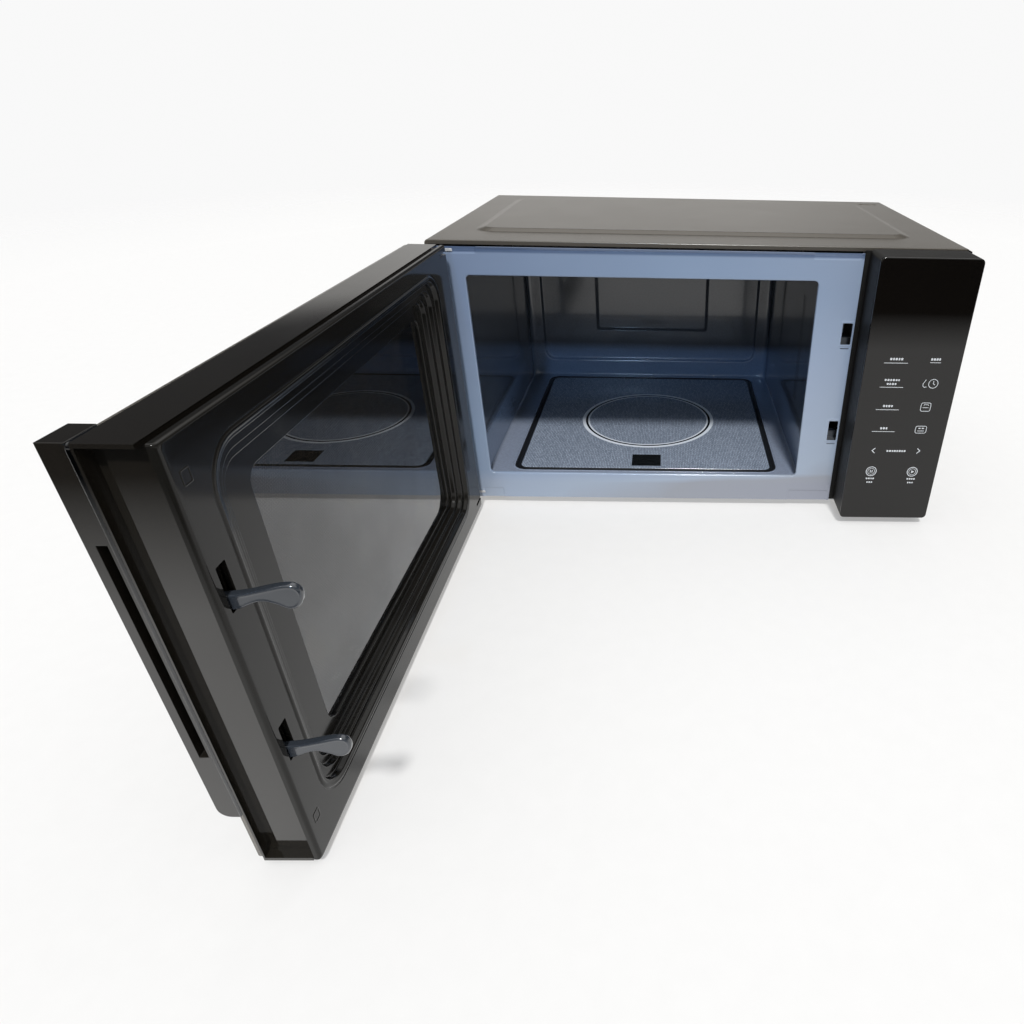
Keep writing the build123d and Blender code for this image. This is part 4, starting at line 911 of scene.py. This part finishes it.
def panel_print():
    """Plain bars, chevrons and simple signs that stand in for the lettering of the keys."""
    bm = bmesh.new()
    Y0, Y1 = -200.9, -200.94

    def flat(pts):
        prism(bm, "y", pts, Y0, Y1)

    def bar(cx, cz, w, h):
        flat(rrect(cx - w / 2, cx + w / 2, cz - h / 2, cz + h / 2, min(w, h) * 0.32, 3))

    def stroke(pts, width, closed=False):
        """Flat line of one width through the points."""
        n = len(pts)
        left, rightp = [], []
        for i, (u, v) in enumerate(pts):
            a = pts[(i - 1) % n] if closed or i > 0 else pts[i]
            b = pts[(i + 1) % n] if closed or i < n - 1 else pts[i]
            d1 = Vector((u - a[0], v - a[1]))
            d2 = Vector((b[0] - u, b[1] - v))
            d1 = d1.normalized() if d1.length > 1e-9 else d2.normalized()
            d2 = d2.normalized() if d2.length > 1e-9 else d1
            t = (d1 + d2).normalized()
            nrm = Vector((-t.y, t.x))
            k = width / 2 / max(0.35, nrm.dot(Vector((-d1.y, d1.x))))
            left.append((u + nrm.x * k, v + nrm.y * k))
            rightp.append((u - nrm.x * k, v - nrm.y * k))
        rows = []
        for pl, pr in zip(left, rightp):
            rows.append([bm.verts.new(place("y", w, *p)) for w, p in ((Y0, pl), (Y1, pl), (Y1, pr), (Y0, pr))])
        last = n if closed else n - 1
        for i in range(last):
            a, b = rows[i], rows[(i + 1) % n]
            for k in range(4):
                bm.faces.new((a[k], a[(k + 1) % 4], b[(k + 1) % 4], b[k]))
        if not closed:
            bm.faces.new(rows[0])
            bm.faces.new(list(reversed(rows[-1])))

    def dashes(cx, cz, widths, h, gap=0.75):
        total = sum(widths) + gap * (len(widths) - 1)
        x = cx - total / 2
        for w in widths:
            bar(x + w / 2, cz, w, h)
            x += w + gap

    Z = 9.0  # the drawing below is measured from the base plate
    dashes(189.5, Z + 177.6, (2.1, 1.6, 2.2, 1.6, 2.1), 2.3)
    bar(189.5, Z + 173.7, 23, 0.55)
    dashes(189.0, Z + 156.6, (1.9, 2.1, 1.5, 2.1, 1.9, 1.5), 2.0)
    dashes(189.0, Z + 152.6, (1.9, 1.5, 2.1, 1.7), 2.0)
    bar(189.5, Z + 149.2, 23, 0.55)
    dashes(189.5, Z + 129.6, (1.9, 1.7, 2.1, 1.7), 2.3)
    bar(189.5, Z + 125.7, 23, 0.55)
    dashes(189.5, Z + 105.6, (1.9, 2.1, 1.7), 2.3)
    bar(189.5, Z + 102.0, 23, 0.55)
    dashes(227.2, Z + 177.8, (1.9, 2.0, 2.0, 1.7), 2.3, 0.6)
    bar(227.3, Z + 174.6, 10.5, 0.55)
    # clock beside a drop
    stroke(circle(229.6, Z + 153.4, 4.5, 28), 0.6, True)
    stroke([(229.6, Z + 156.2), (229.6, Z + 153.4), (231.4, Z + 152.2)], 0.6)
    stroke([(222.0, Z + 157.4), (219.9, Z + 153.6), (219.6, Z + 151.9), (220.4, Z + 150.2), (222.0, Z + 149.6), (223.5, Z + 150.2)], 0.6)
    # dish in a frame
    stroke(rrect(222.3, 231.9, Z + 124.6, Z + 133.4, 1.8, 4), 0.6, True)
    stroke([(224.2, Z + 128.4), (230.0, Z + 128.4)], 0.6)
    stroke([(225.0, Z + 130.4), (225.6, Z + 131.6), (229.0, Z + 131.6), (229.6, Z + 130.4)], 0.5)
    # tray
    stroke(rrect(221.6, 232.6, Z + 100.8, Z + 108.4, 1.8, 4), 0.6, True)
    stroke([(223.8, Z + 103.2), (230.4, Z + 103.2)], 0.6)
    bar(225.6, Z + 106.0, 2.2, 1.2)
    bar(228.9, Z + 106.0, 2.2, 1.2)
    # chevrons and the bar between them
    stroke([(184.7, Z + 83.4), (181.7, Z + 80.6), (184.7, Z + 77.8)], 0.8)
    stroke([(227.9, Z + 83.6), (230.9, Z + 80.8), (227.9, Z + 78.0)], 0.8)
    dashes(206.4, Z + 80.4, (1.9, 2.1, 1.5, 1.9, 1.6, 2.1, 1.5, 2.0), 2.1, 0.7)
    # round keys: bars and a triangle
    for cx in (184.8, 227.7):
        stroke(circle(cx, Z + 56.6, 5.2, 32), 0.75, True)
        stroke(circle(cx, Z + 56.6, 3.5, 28), 0.45, True)
    bar(183.9, Z + 56.6, 0.8, 3.2)
    bar(185.7, Z + 56.6, 0.8, 3.2)
    flat([(226.7, Z + 54.9), (229.7, Z + 56.6), (226.7, Z + 58.3)])
    for cx in (184.8, 227.7):
        dashes(cx, Z + 48.2, (1.7, 1.9, 1.5, 1.8), 1.8, 0.6)
        dashes(cx, Z + 43.8, (1.5, 1.8, 1.5), 1.7, 0.6)
    return publish(raw("panel_print", bm), M["print"], "cabinet", smooth=False)


# ---------------------------------------------------------------------------
# Door
# ---------------------------------------------------------------------------


def door_liner():
    """Inner cover: rounded rim, recess that steps down to the window, slots for the hooks."""
    bm = bmesh.new()
    Y0, Y1, Z0, Z1 = -586.4, -174.8, 4.6, 278.3

    def win(x, a, b, c, d, r):
        """Recess outline moved in by a at the free side, b at the hinge, c below, d above."""
        return (x, rrect(-559.5 + a, -217.0 - b, 30.0 + c, 259.0 - d, r))

    rings = [(-235.2, rrect(Y0, Y1, Z0, Z1, 1.2)), (-233.4, rrect(Y0, Y1, Z0, Z1, 1.2))]
    for k in range(1, 8):
        a = math.radians(90.0 * k / 7)
        f = 1 - math.cos(a)
        rings.append((-233.4 + 2.4 * math.sin(a), rrect(Y0 + 2.2 * f, Y1 - 2.7 * f, Z0 + 2.4 * f, Z1 - 1.8 * f, 1.2 + 1.6 * f)))
    rings.append((-231.0, rrect(Y0 + 4.0, Y1 - 4.5, Z0 + 4.2, Z1 - 3.6, 4.0)))

    def step(x_top, x_low, a, b, c, d, r, f=0.9, slope=0.0):
        """Wall from one level down to the next, rounded at its top and bottom."""
        out = []
        for k in range(0, 6):
            t = math.radians(18 * k)
            e = f * (1 - math.sin(t))
            out.append(win(x_top - f * (1 - math.cos(t)), a - e, b - e, c - e, d - e, r + e))
        for k in range(0, 6):
            t = math.radians(18 * k)
            e = f * (1 - math.cos(t)) + slope
            out.append(win(x_low + f * (1 - math.sin(t)), a + e, b + e, c + e, d + e, r - e))
        return out

    # fine groove and bead around the recess
    for out, rise in ((6.6, 0.0), (6.2, -0.03), (5.9, -0.30), (5.5, -0.42), (5.1, -0.30), (4.8, -0.02), (4.5, 0.18), (4.0, 0.34), (3.5, 0.40), (3.0, 0.34), (2.5, 0.18), (2.1, 0.0)):
        rings.append((-231.0 + rise, rrect(-559.5 - out, -217.0 + out, 30.0 - out, 259.0 + out, 20 + out)))
    rings += step(-231.0, -235.0, 0, 0, 0, 0, 20, 1.3, 0.5)
    rings += step(-235.0, -239.0, 7, 7, 5, 7, 17, 1.1, 0.5)
    rings += step(-239.0, -243.2, 14, 14, 9, 14, 14, 1.1, 0.5)
    for k in range(0, 6):
        t = math.radians(18 * k)
        e = 0.9 * (1 - math.sin(t))
        rings.append((-243.2 - 0.9 * (1 - math.cos(t)), rrect(-520.0 - e, -243.0 + e, 47.0 - e, 231.0 + e, 10 + e)))
    rings.append((-245.15, rrect(-520.0, -243.0, 47.0, 231.0, 10)))
    rings.append((-245.15, rrect(-561.1, -215.4, 28.4, 260.6, 21.6)))
    rings.append((-233.8, rrect(-561.1, -215.4, 28.4, 260.6, 21.6)))
    rings.append((-233.8, rrect(Y0 + 3.0, Y1 - 3.0, Z0 + 3.0, Z1 - 3.0, 3.0)))
    rings.append((-235.2, rrect(Y0 + 2.4, Y1 - 2.4, Z0 + 2.4, Z1 - 2.4, 2.0)))
    loft(bm, "x", rings, wrap=True)
    o = raw("door_liner", bm)
    c = bmesh.new()
    for z0, z1 in ((188.0, 214.0), (85.5, 111.0)):
        prism(c, "x", rrect(-577 - 3.8, -577 + 3.8, z0, z1, 0.8, 3), -240, -225)
    prism(c, "x", rrect(-194.5, -160, 270.4, 273.6, 0.5, 3), -240, -225)
    prism(c, "x", rrect(-194.5, -160, 13.4, 16.6, 0.5, 3), -240, -225)
    cut(o, c)
    clean(o)
    bm = bmesh.new()
    bm.from_mesh(o.data)
    # small square moulding marks near the corners of the free side
    for cy, cz in ((-576.6, 259.0), (-577.2, 34.4)):
        rr = [(-231.02, rrect(cy - 3.2, cy + 3.2, cz - 3.8, cz + 3.8, 0.8, 3)), (-230.75, rrect(cy - 3.1, cy + 3.1, cz - 3.7, cz + 3.7, 0.8, 3)),
              (-230.75, rrect(cy - 2.5, cy + 2.5, cz - 3.1, cz + 3.1, 0.5, 3)), (-231.02, rrect(cy - 2.4, cy + 2.4, cz - 3.0, cz + 3.0, 0.5, 3))]
        loft(bm, "x", rr)
    mark(bm, 35)
    bm.to_mesh(o.data)
    bm.free()
    return publish(o, "black_satin", "door", "door_inner_cover")


def door_core():
    """Frame between the glass and the inner cover, with a deep gap beside the glass at its free end."""
    o = copy_of("door_frame", "door_core")
    c = bmesh.new()
    box(c, -263.75, -257.6, -590.0, -578.2, 9.2, 276.0)
    d = bmesh.new()
    box(d, -239.6, -230.0, -590.0, -168.0, 275.4, 281.0)
    cut(o, c, d)
    clean(o)
    bevel(o, 0.8, 3, 35)
    apply_all(o)
    for f in o.data.polygons:
        q = f.center / MM
        if f.normal.z > 0.6 and q.z < 18.0 and q.y < -574.0 and -258.5 < q.x < -234.0:
            f.material_index = 1
        if -263.9 < q.x < -257.4 and q.y < -578.0 and 9.0 < q.z < 276.1 and q.y > -580.75 or (-239.8 < q.x < -235.9 and 275.2 < q.z < 276.6):
            f.material_index = 1
    return publish(o, ["black_gloss", "black_matt"], "door", "door_frame")


def door_grip():
    o = copy_of("door_handle", "door_grip")
    bevel(o, 1.1, 3, 35)
    return publish(o, "black_gloss", "door", "door_handle")


def door_pane():
    bm = bmesh.new()
    rings = [(-264.9, rrect(-586.4 + 0.4, -173.4 - 0.4, 6.7 + 0.4, 278.0 - 0.4, 2.6)), (-265.3, rrect(-586.4, -173.4, 6.7, 278.0, 3.0)), (-266.8, rrect(-586.4, -173.4, 6.7, 278.0, 3.0))]
    for k in range(1, 5):
        a = math.radians(22.5 * k)
        w = 0.6 * (1 - math.cos(a))
        rings.append((-266.8 - 0.6 * math.sin(a), rrect(-586.4 + w, -173.4 - w, 6.7 + w, 278.0 - w, 3.0 - w)))
    loft(bm, "x", rings, True, True)
    o = raw("door_pane", bm)
    c = bmesh.new()
    for z in (60.0, 236.0):
        prism(c, "x", circle(-576.0, z, 1.8, 20), -275, -260)
    cut(o, c)
    clean(o)
    for f in o.data.polygons:
        if abs(f.normal.x) < 0.97:
            f.material_index = 1
    return publish(o, ["clear_glass", "black_glass"], "door", "door_front_glass")


def door_mesh():
    """Perforated screen in the window: a sheet with staggered holes."""
    bm = bmesh.new()
    x = -247.7
    ya, yb, za, zb = -522.0, -241.0, 45.0, 233.0
    p = 2.0
    h = p * math.sqrt(3) / 2
    cols = int((yb - ya) / p)
    rows = int((zb - za) / h)
    y_start = (ya + yb) / 2 - (cols - 1) * p / 2
    z_start = (za + zb) / 2 - (rows - 1) * h / 2
    cache = {}

    def vert(y, z):
        key = (round(y, 3), round(z, 3))
        if key not in cache:
            cache[key] = bm.verts.new(Vector((x, y, z)) * MM)
        return cache[key]

    R = p / math.sqrt(3)
    ro = 0.69
    for j in range(rows):
        shift = (j % 2) * p / 2
        for i in range(cols):
            cy = y_start + i * p + shift - p / 4
            cz = z_start + j * h
            out = [vert(cy + R * math.sin(math.radians(60 * k)), cz + R * math.cos(math.radians(60 * k))) for k in range(6)]
            inn = [bm.verts.new(Vector((x, cy + ro * math.sin(math.radians(60 * k)), cz + ro * math.cos(math.radians(60 * k)))) * MM) for k in range(6)]
            for k in range(6):
                bm.faces.new((out[k], out[(k + 1) % 6], inn[(k + 1) % 6], inn[k]))
    # plain rim
    loft(bm, "x", [(x, rrect(-530.0, -233.0, 37.0, 241.0, 6)), (x, rrect(ya + 1.2, yb - 1.2, za + 1.2, zb - 1.2, 0.6))])
    o = raw("door_mesh", bm)
    return publish(o, "plastic_black", "door", "door_screen", smooth=False)


def hooks():
    """Latch lever: slim bar with two swept hooks, rounded like a moulding."""
    outline = [(-241.0, 188.6), (-233.0, 188.8), (-227.7, 189.4), (-222.0, 192.6), (-216.3, 194.4), (-210.5, 192.4), (-205.7, 188.6), (-200.2, 190.4), (-197.6, 196.6),
               (-198.8, 201.4), (-202.4, 203.4), (-209.0, 202.6), (-216.0, 200.8), (-224.0, 198.6), (-233.0, 197.4), (-241.0, 197.2)]

    def smooth(pts, times=2):
        """Rounds the outline but keeps the two root corners."""
        for _ in range(times):
            out = [pts[0]]
            for a, b in zip(pts, pts[1:]):
                out.append((a[0] * 0.75 + b[0] * 0.25, a[1] * 0.75 + b[1] * 0.25))
                out.append((a[0] * 0.25 + b[0] * 0.75, a[1] * 0.25 + b[1] * 0.75))
            out.append(pts[-1])
            pts = out
        return pts

    bm = bmesh.new()
    for dz in (0.0, -102.4):
        pts = [(x, z + dz) for x, z in smooth(outline)]
        n = len(pts)
        cxm = sum(p[0] for p in pts) / n
        # inward normals
        inn = []
        for i in range(n):
            a, b = pts[i - 1], pts[(i + 1) % n]
            t = Vector((b[0] - a[0], b[1] - a[1]))
            t = t.normalized() if t.length else Vector((1, 0))
            inn.append((-t.y, t.x))
        area2 = sum(pts[i][0] * pts[(i + 1) % n][1] - pts[(i + 1) % n][0] * pts[i][1] for i in range(n))
        s = 1 if area2 > 0 else -1

        def ring(y, w):
            out = []
            for (x, z), (nx, nz) in zip(pts, inn):
                f = w if x > -239 else 0.0
                out.append((x + s * nx * f, z + s * nz * f, y))
            return out

        prof = []
        for k in range(0, 5):
            a = math.radians(22.5 * k)
            prof.append((-579.6 + 1.3 * (1 - math.sin(a)), 1.3 * (1 - math.cos(a))))
        prof = [(y, w) for y, w in reversed(prof)]
        left = [(-579.6, 1.3), (-579.5, 0.8), (-579.2, 0.4), (-578.8, 0.1), (-578.3, 0.0)]
        right_ = [(-575.7, 0.0), (-575.2, 0.1), (-574.8, 0.4), (-574.5, 0.8), (-574.4, 1.3)]
        rows = []
        for y, w in left + right_:
            row = []
            for x, z, yy in ring(y, w):
                # taper of the barb on the free-end side, and a slight dish along the middle
                t = min(max((x + 212.0) / 16.0, 0.0), 1.0)
                yy2 = yy + (1.7 * t) * (1 if yy < -577.0 else 0.0) * 0.9
                row.append(bm.verts.new(Vector((x, yy2, z)) * MM))
            rows.append(row)
        for a, b in zip(rows, rows[1:]):
            for k in range(n):
                bm.faces.new((a[k], a[(k + 1) % n], b[(k + 1) % n], b[k]))
        # sides: a dished inner outline and a middle face
        for row, sign in ((rows[0], 1), (rows[-1], -1)):
            mid = []
            for (x, z), (nx, nz), v in zip(pts, inn, row):
                f = 2.3 if x > -239 else 0.4
                mid.append(bm.verts.new(Vector((x + s * nx * f, v.co.y / MM + sign * 0.35, z + s * nz * f)) * MM))
            for k in range(n):
                bm.faces.new((row[k], row[(k + 1) % n], mid[(k + 1) % n], mid[k]))
            bm.faces.new(mid)
    # bar
    prof = rrect(-250.0, -240.0, -579.6, -574.4, 0.9, 3)
    loft(bm, "z", [(80.0, rrect(-249.4, -240.6, -579.0, -575.0, 0.6, 3)), (80.6, prof), (213.4, prof), (214.0, rrect(-249.4, -240.6, -579.0, -575.0, 0.6, 3))], True, True)
    return publish(raw("latch_hooks", bm, sharp=50), "hook_grey", "latch", "latch_lever")


# ---------------------------------------------------------------------------
# Feet and screws
# ---------------------------------------------------------------------------


def moulded_feet():
    bm = bmesh.new()
    for x in (-222.0, 222.0):
        for y in (-132.0, 132.0):
            lathe(bm, "z", x, y, [(1.6, 6.0), (0.9, 8.8), (0.2, 9.6), (0.0, 10.4), (0.15, 11.4), (0.7, 12.0), (4.0, 12.7), (7.4, 13.5), (8.2, 14.0), (9.0, 14.0)], 40)
    return publish(raw("moulded_feet", bm), "rubber_black", "cabinet", "feet")


def cross_screws():
    """Pan heads with a cross recess."""
    o = None
    bm = bmesh.new()
    c = bmesh.new()
    for x, z in ((-235, 268), (-80, 268), (80, 268), (235, 268), (-245, 60), (245, 60)):
        lathe(bm, "y", x, z, [(162.2, 3.8), (162.9, 3.8), (163.6, 3.5), (164.1, 2.8), (164.38, 1.6), (164.4, 0.3)], 28)
        prism(c, "y", [(x - 0.4, z - 2.1), (x + 0.4, z - 2.1), (x + 0.4, z + 2.1), (x - 0.4, z + 2.1)], 163.2, 165.5)
    d = bmesh.new()
    for x, z in ((-235, 268), (-80, 268), (80, 268), (235, 268), (-245, 60), (245, 60)):
        prism(d, "y", [(x - 2.1, z - 0.4), (x + 2.1, z - 0.4), (x + 2.1, z + 0.4), (x - 2.1, z + 0.4)], 163.2, 165.5)
    e = bmesh.new()
    f = bmesh.new()
    for x in (-150, 0, 110):
        for y in (-150, 150):
            lathe(bm, "z", x, y, [(9.0, 3.8), (8.3, 3.8), (7.6, 3.5), (7.1, 2.8), (6.82, 1.6), (6.8, 0.3)], 28)
            prism(e, "z", [(x - 0.4, y - 2.1), (x + 0.4, y - 2.1), (x + 0.4, y + 2.1), (x - 0.4, y + 2.1)], 6.0, 8.0)
            prism(f, "z", [(x - 2.1, y - 0.4), (x + 2.1, y - 0.4), (x + 2.1, y + 0.4), (x - 2.1, y + 0.4)], 6.0, 8.0)
    o = raw("cross_screws", bm)
    cut(o, c, d, e, f)
    clean(o)
    return publish(o, "steel", "cabinet", "screws")


def hinge_lugs():
    """Thin riveted lugs of the hinge plates on the front plate."""
    bm = bmesh.new()
    for z, s in ((272.1, 1), (15.0, -1)):
        loft(bm, "y", [(-163.9, rrect(-238.6, -228.6, z - 1.3, z + 1.3, 0.9, 4)), (-164.35, rrect(-238.6, -228.6, z - 1.3, z + 1.3, 0.9, 4)),
                       (-164.5, rrect(-238.4, -228.8, z - 1.1, z + 1.1, 0.8, 4))], True, True)
        lathe(bm, "y", -230.6, z, [(-164.5, 1.1), (-164.62, 1.0), (-164.7, 0.6)], 16)
    return publish(raw("hinge_lugs", bm), "bright_zinc", "cabinet")


def printed(name="key_print"):
    t = Tree(name)
    n = t.noise(700.0, 2.0)
    col = t.ramp(n, [(0.3, (0.50, 0.52, 0.54)), (0.7, (0.60, 0.62, 0.64))])
    return t.done(t.shade(col, t.spread(n, 0.42, 0.55), None))


M["print"] = printed()

cabinet_wrap()
front_flange()
cavity_shell()
floor_tile()
floor_gasket()
glass_fascia()
panel_housing()
panel_print()
door_liner()
door_core()
door_grip()
door_pane()
door_mesh()
hooks()
moulded_feet()
cross_screws()
hinge_lugs()

# ---------------------------------------------------------------------------
# Carried-over CAD nodes: their finish and softened edges
# ---------------------------------------------------------------------------


def soften(o, width, segments=2, angle=28.0):
    w = o.modifiers.new("weld", "WELD")
    w.merge_threshold = 1e-6
    d = o.modifiers.new("flat", "DECIMATE")
    d.decimate_type = "DISSOLVE"
    d.angle_limit = math.radians(0.4)
    b = o.modifiers.new("edges", "BEVEL")
    b.width = width * MM
    b.segments = segments
    b.limit_method = "ANGLE"
    b.angle_limit = math.radians(angle)
    b.use_clamp_overlap = True
    n = o.modifiers.new("normals", "WEIGHTED_NORMAL")
    n.keep_sharp = True
    n.weight = 100


SOFT = {"upper_hinge_plate": 0.4, "lower_hinge_plate": 0.4, "hinge_pins": 0.5, "latch_bracket": 0.3, "cord_inlet": 0.5, "door_choke": 0.3}
for name, o in nodes.items():
    o.data.materials.clear()
    finer = {"door_inner_glass": "window_glass", "latch_bracket": "plastic_grey", "upper_hinge_plate": "bright_zinc", "lower_hinge_plate": "bright_zinc"}
    o.data.materials.append(M[finer.get(name, slot_of[name])])
    if name in SOFT:
        soften(o, SOFT[name])

# ---------------------------------------------------------------------------
# Stage and light
# ---------------------------------------------------------------------------


def studio_floor():
    """Pale floor that fades into the pale surroundings."""
    me = bpy.data.meshes.new("studio_floor")
    bm = bmesh.new()
    n = 96
    rows = []
    for r in (0.6, 1.2, 1.8, 2.6, 3.4):
        rows.append([bm.verts.new((r * math.cos(2 * math.pi * k / n), 0.45 + r * math.sin(2 * math.pi * k / n), 0.0)) for k in range(n)])
    bm.faces.new(rows[0])
    for a, b in zip(rows, rows[1:]):
        for k in range(n):
            bm.faces.new((a[k], b[k], b[(k + 1) % n], a[(k + 1) % n]))
    bmesh.ops.recalc_face_normals(bm, faces=bm.faces)
    bm.to_mesh(me)
    bm.free()
    o = bpy.data.objects.new("studio_floor", me)
    scene.collection.objects.link(o)
    t = Tree("studio_paper")
    fine = t.noise(60.0, 3.0)
    col = t.ramp(fine, [(0.3, (0.445, 0.445, 0.445)), (0.7, (0.455, 0.455, 0.455))])
    paper = t.shade(col, 0.9, None, Specular_IOR_Level=0.1, Emission_Color=(1, 0.985, 0.965, 1), Emission_Strength=0.345)
    sep = t.node("ShaderNodeSeparateXYZ")
    t.link(t.coord, sep.inputs[0])
    dy = t.math("SUBTRACT", sep.outputs["Y"], 0.45)
    rad = t.math("SQRT", t.math("ADD", t.math("MULTIPLY", sep.outputs["X"], sep.outputs["X"]), t.math("MULTIPLY", dy, dy)))
    far = t.spread(rad, 0.0, 1.0, 1.55, 2.6)
    front = t.spread(sep.outputs["Y"], 1.0, 0.0, -1.05, -0.80)
    fade = t.math("MAXIMUM", far, front)
    clear = t.node("ShaderNodeBsdfTransparent")
    mixer = t.node("ShaderNodeMixShader")
    t.link(fade, mixer.inputs[0])
    t.link(paper, mixer.inputs[1])
    t.link(clear.outputs[0], mixer.inputs[2])
    me.materials.append(t.done(mixer.outputs[0]))
    return o


studio_floor()


def sun(name, towards, strength, spread, color=(1, 1, 1)):
    d = bpy.data.lights.new(name, "SUN")
    d.energy = strength
    d.angle = math.radians(spread)
    d.color = color
    o = bpy.data.objects.new(name, d)
    scene.collection.objects.link(o)
    o.rotation_mode = "QUATERNION"
    o.rotation_quaternion = Vector(towards).to_track_quat("-Z", "Y")
    return o


sun("window", (0.05, 1.0, -0.551), 0.34, 3.0, (0.42, 0.66, 1.0))
sun("key", (-0.10, 1.0, -1.49), 2.8, 6.0, (1.0, 0.99, 0.97))
sun("fill", (0.0, -0.05, -1.0), 0.85, 90.0, (0.96, 0.98, 1.0))

world = bpy.data.worlds.new("studio")
scene.world = world
world.use_nodes = True
wt = world.node_tree
wt.nodes.clear()
seen = wt.nodes.new("ShaderNodeBackground")
seen.inputs["Color"].default_value = (0.945, 0.945, 0.945, 1)
seen.inputs["Strength"].default_value = 1.0
room = wt.nodes.new("ShaderNodeBackground")
wc = wt.nodes.new("ShaderNodeTexCoord")
ws = wt.nodes.new("ShaderNodeSeparateXYZ")
wt.links.new(wc.outputs["Generated"], ws.inputs[0])
wr = wt.nodes.new("ShaderNodeValToRGB")
bands = [(-1.0, 0.015), (-0.13, 0.02), (-0.11, 1.05), (0.00, 1.05), (0.035, 0.68), (0.228, 0.72), (0.252, 0.06), (0.46, 0.05), (0.55, 0.30), (0.66, 0.80), (0.80, 0.70), (1.0, 0.60)]
wr.color_ramp.elements.remove(wr.color_ramp.elements[-1])
for i, (h, level) in enumerate(bands):
    e = wr.color_ramp.elements[0] if i == 0 else wr.color_ramp.elements.new((h + 1) / 2)
    e.position = (h + 1) / 2
    e.color = (level, level * 0.985, level * 0.96, 1) if level > 0.1 else (level * 0.9, level, level * 1.2, 1)
wm = wt.nodes.new("ShaderNodeMapRange")
wm.inputs["From Min"].default_value = -1.0
wm.inputs["From Max"].default_value = 1.0
wt.links.new(ws.outputs["Z"], wm.inputs["Value"])
wt.links.new(wm.outputs["Result"], wr.inputs["Fac"])
wt.links.new(wr.outputs["Color"], room.inputs["Color"])
wa = wt.nodes.new("ShaderNodeMapRange")
wa.inputs["From Min"].default_value = -1.0
wa.inputs["From Max"].default_value = 1.0
wt.links.new(ws.outputs["X"], wa.inputs["Value"])
wb = wt.nodes.new("ShaderNodeValToRGB")
wb.color_ramp.elements.remove(wb.color_ramp.elements[-1])
for i, (h, level) in enumerate([(-1.0, 0.62), (-0.50, 0.64), (-0.34, 0.80), (-0.20, 1.0), (0.12, 0.97), (0.30, 0.66), (1.0, 0.60)]):
    e = wb.color_ramp.elements[0] if i == 0 else wb.color_ramp.elements.new((h + 1) / 2)
    e.position = (h + 1) / 2
    e.color = (level, level, level, 1)
wt.links.new(wa.outputs["Result"], wb.inputs["Fac"])
wt.links.new(wb.outputs["Color"], room.inputs["Strength"])
lp = wt.nodes.new("ShaderNodeLightPath")
wx = wt.nodes.new("ShaderNodeMixShader")
wt.links.new(lp.outputs["Is Camera Ray"], wx.inputs[0])
wt.links.new(room.outputs[0], wx.inputs[1])
wt.links.new(seen.outputs[0], wx.inputs[2])
wo = wt.nodes.new("ShaderNodeOutputWorld")
wt.links.new(wx.outputs[0], wo.inputs[0])

scene.view_settings.view_transform = "Standard"
scene.view_settings.look = "None"
scene.view_settings.exposure = 0.0
scene.view_settings.gamma = 1.0
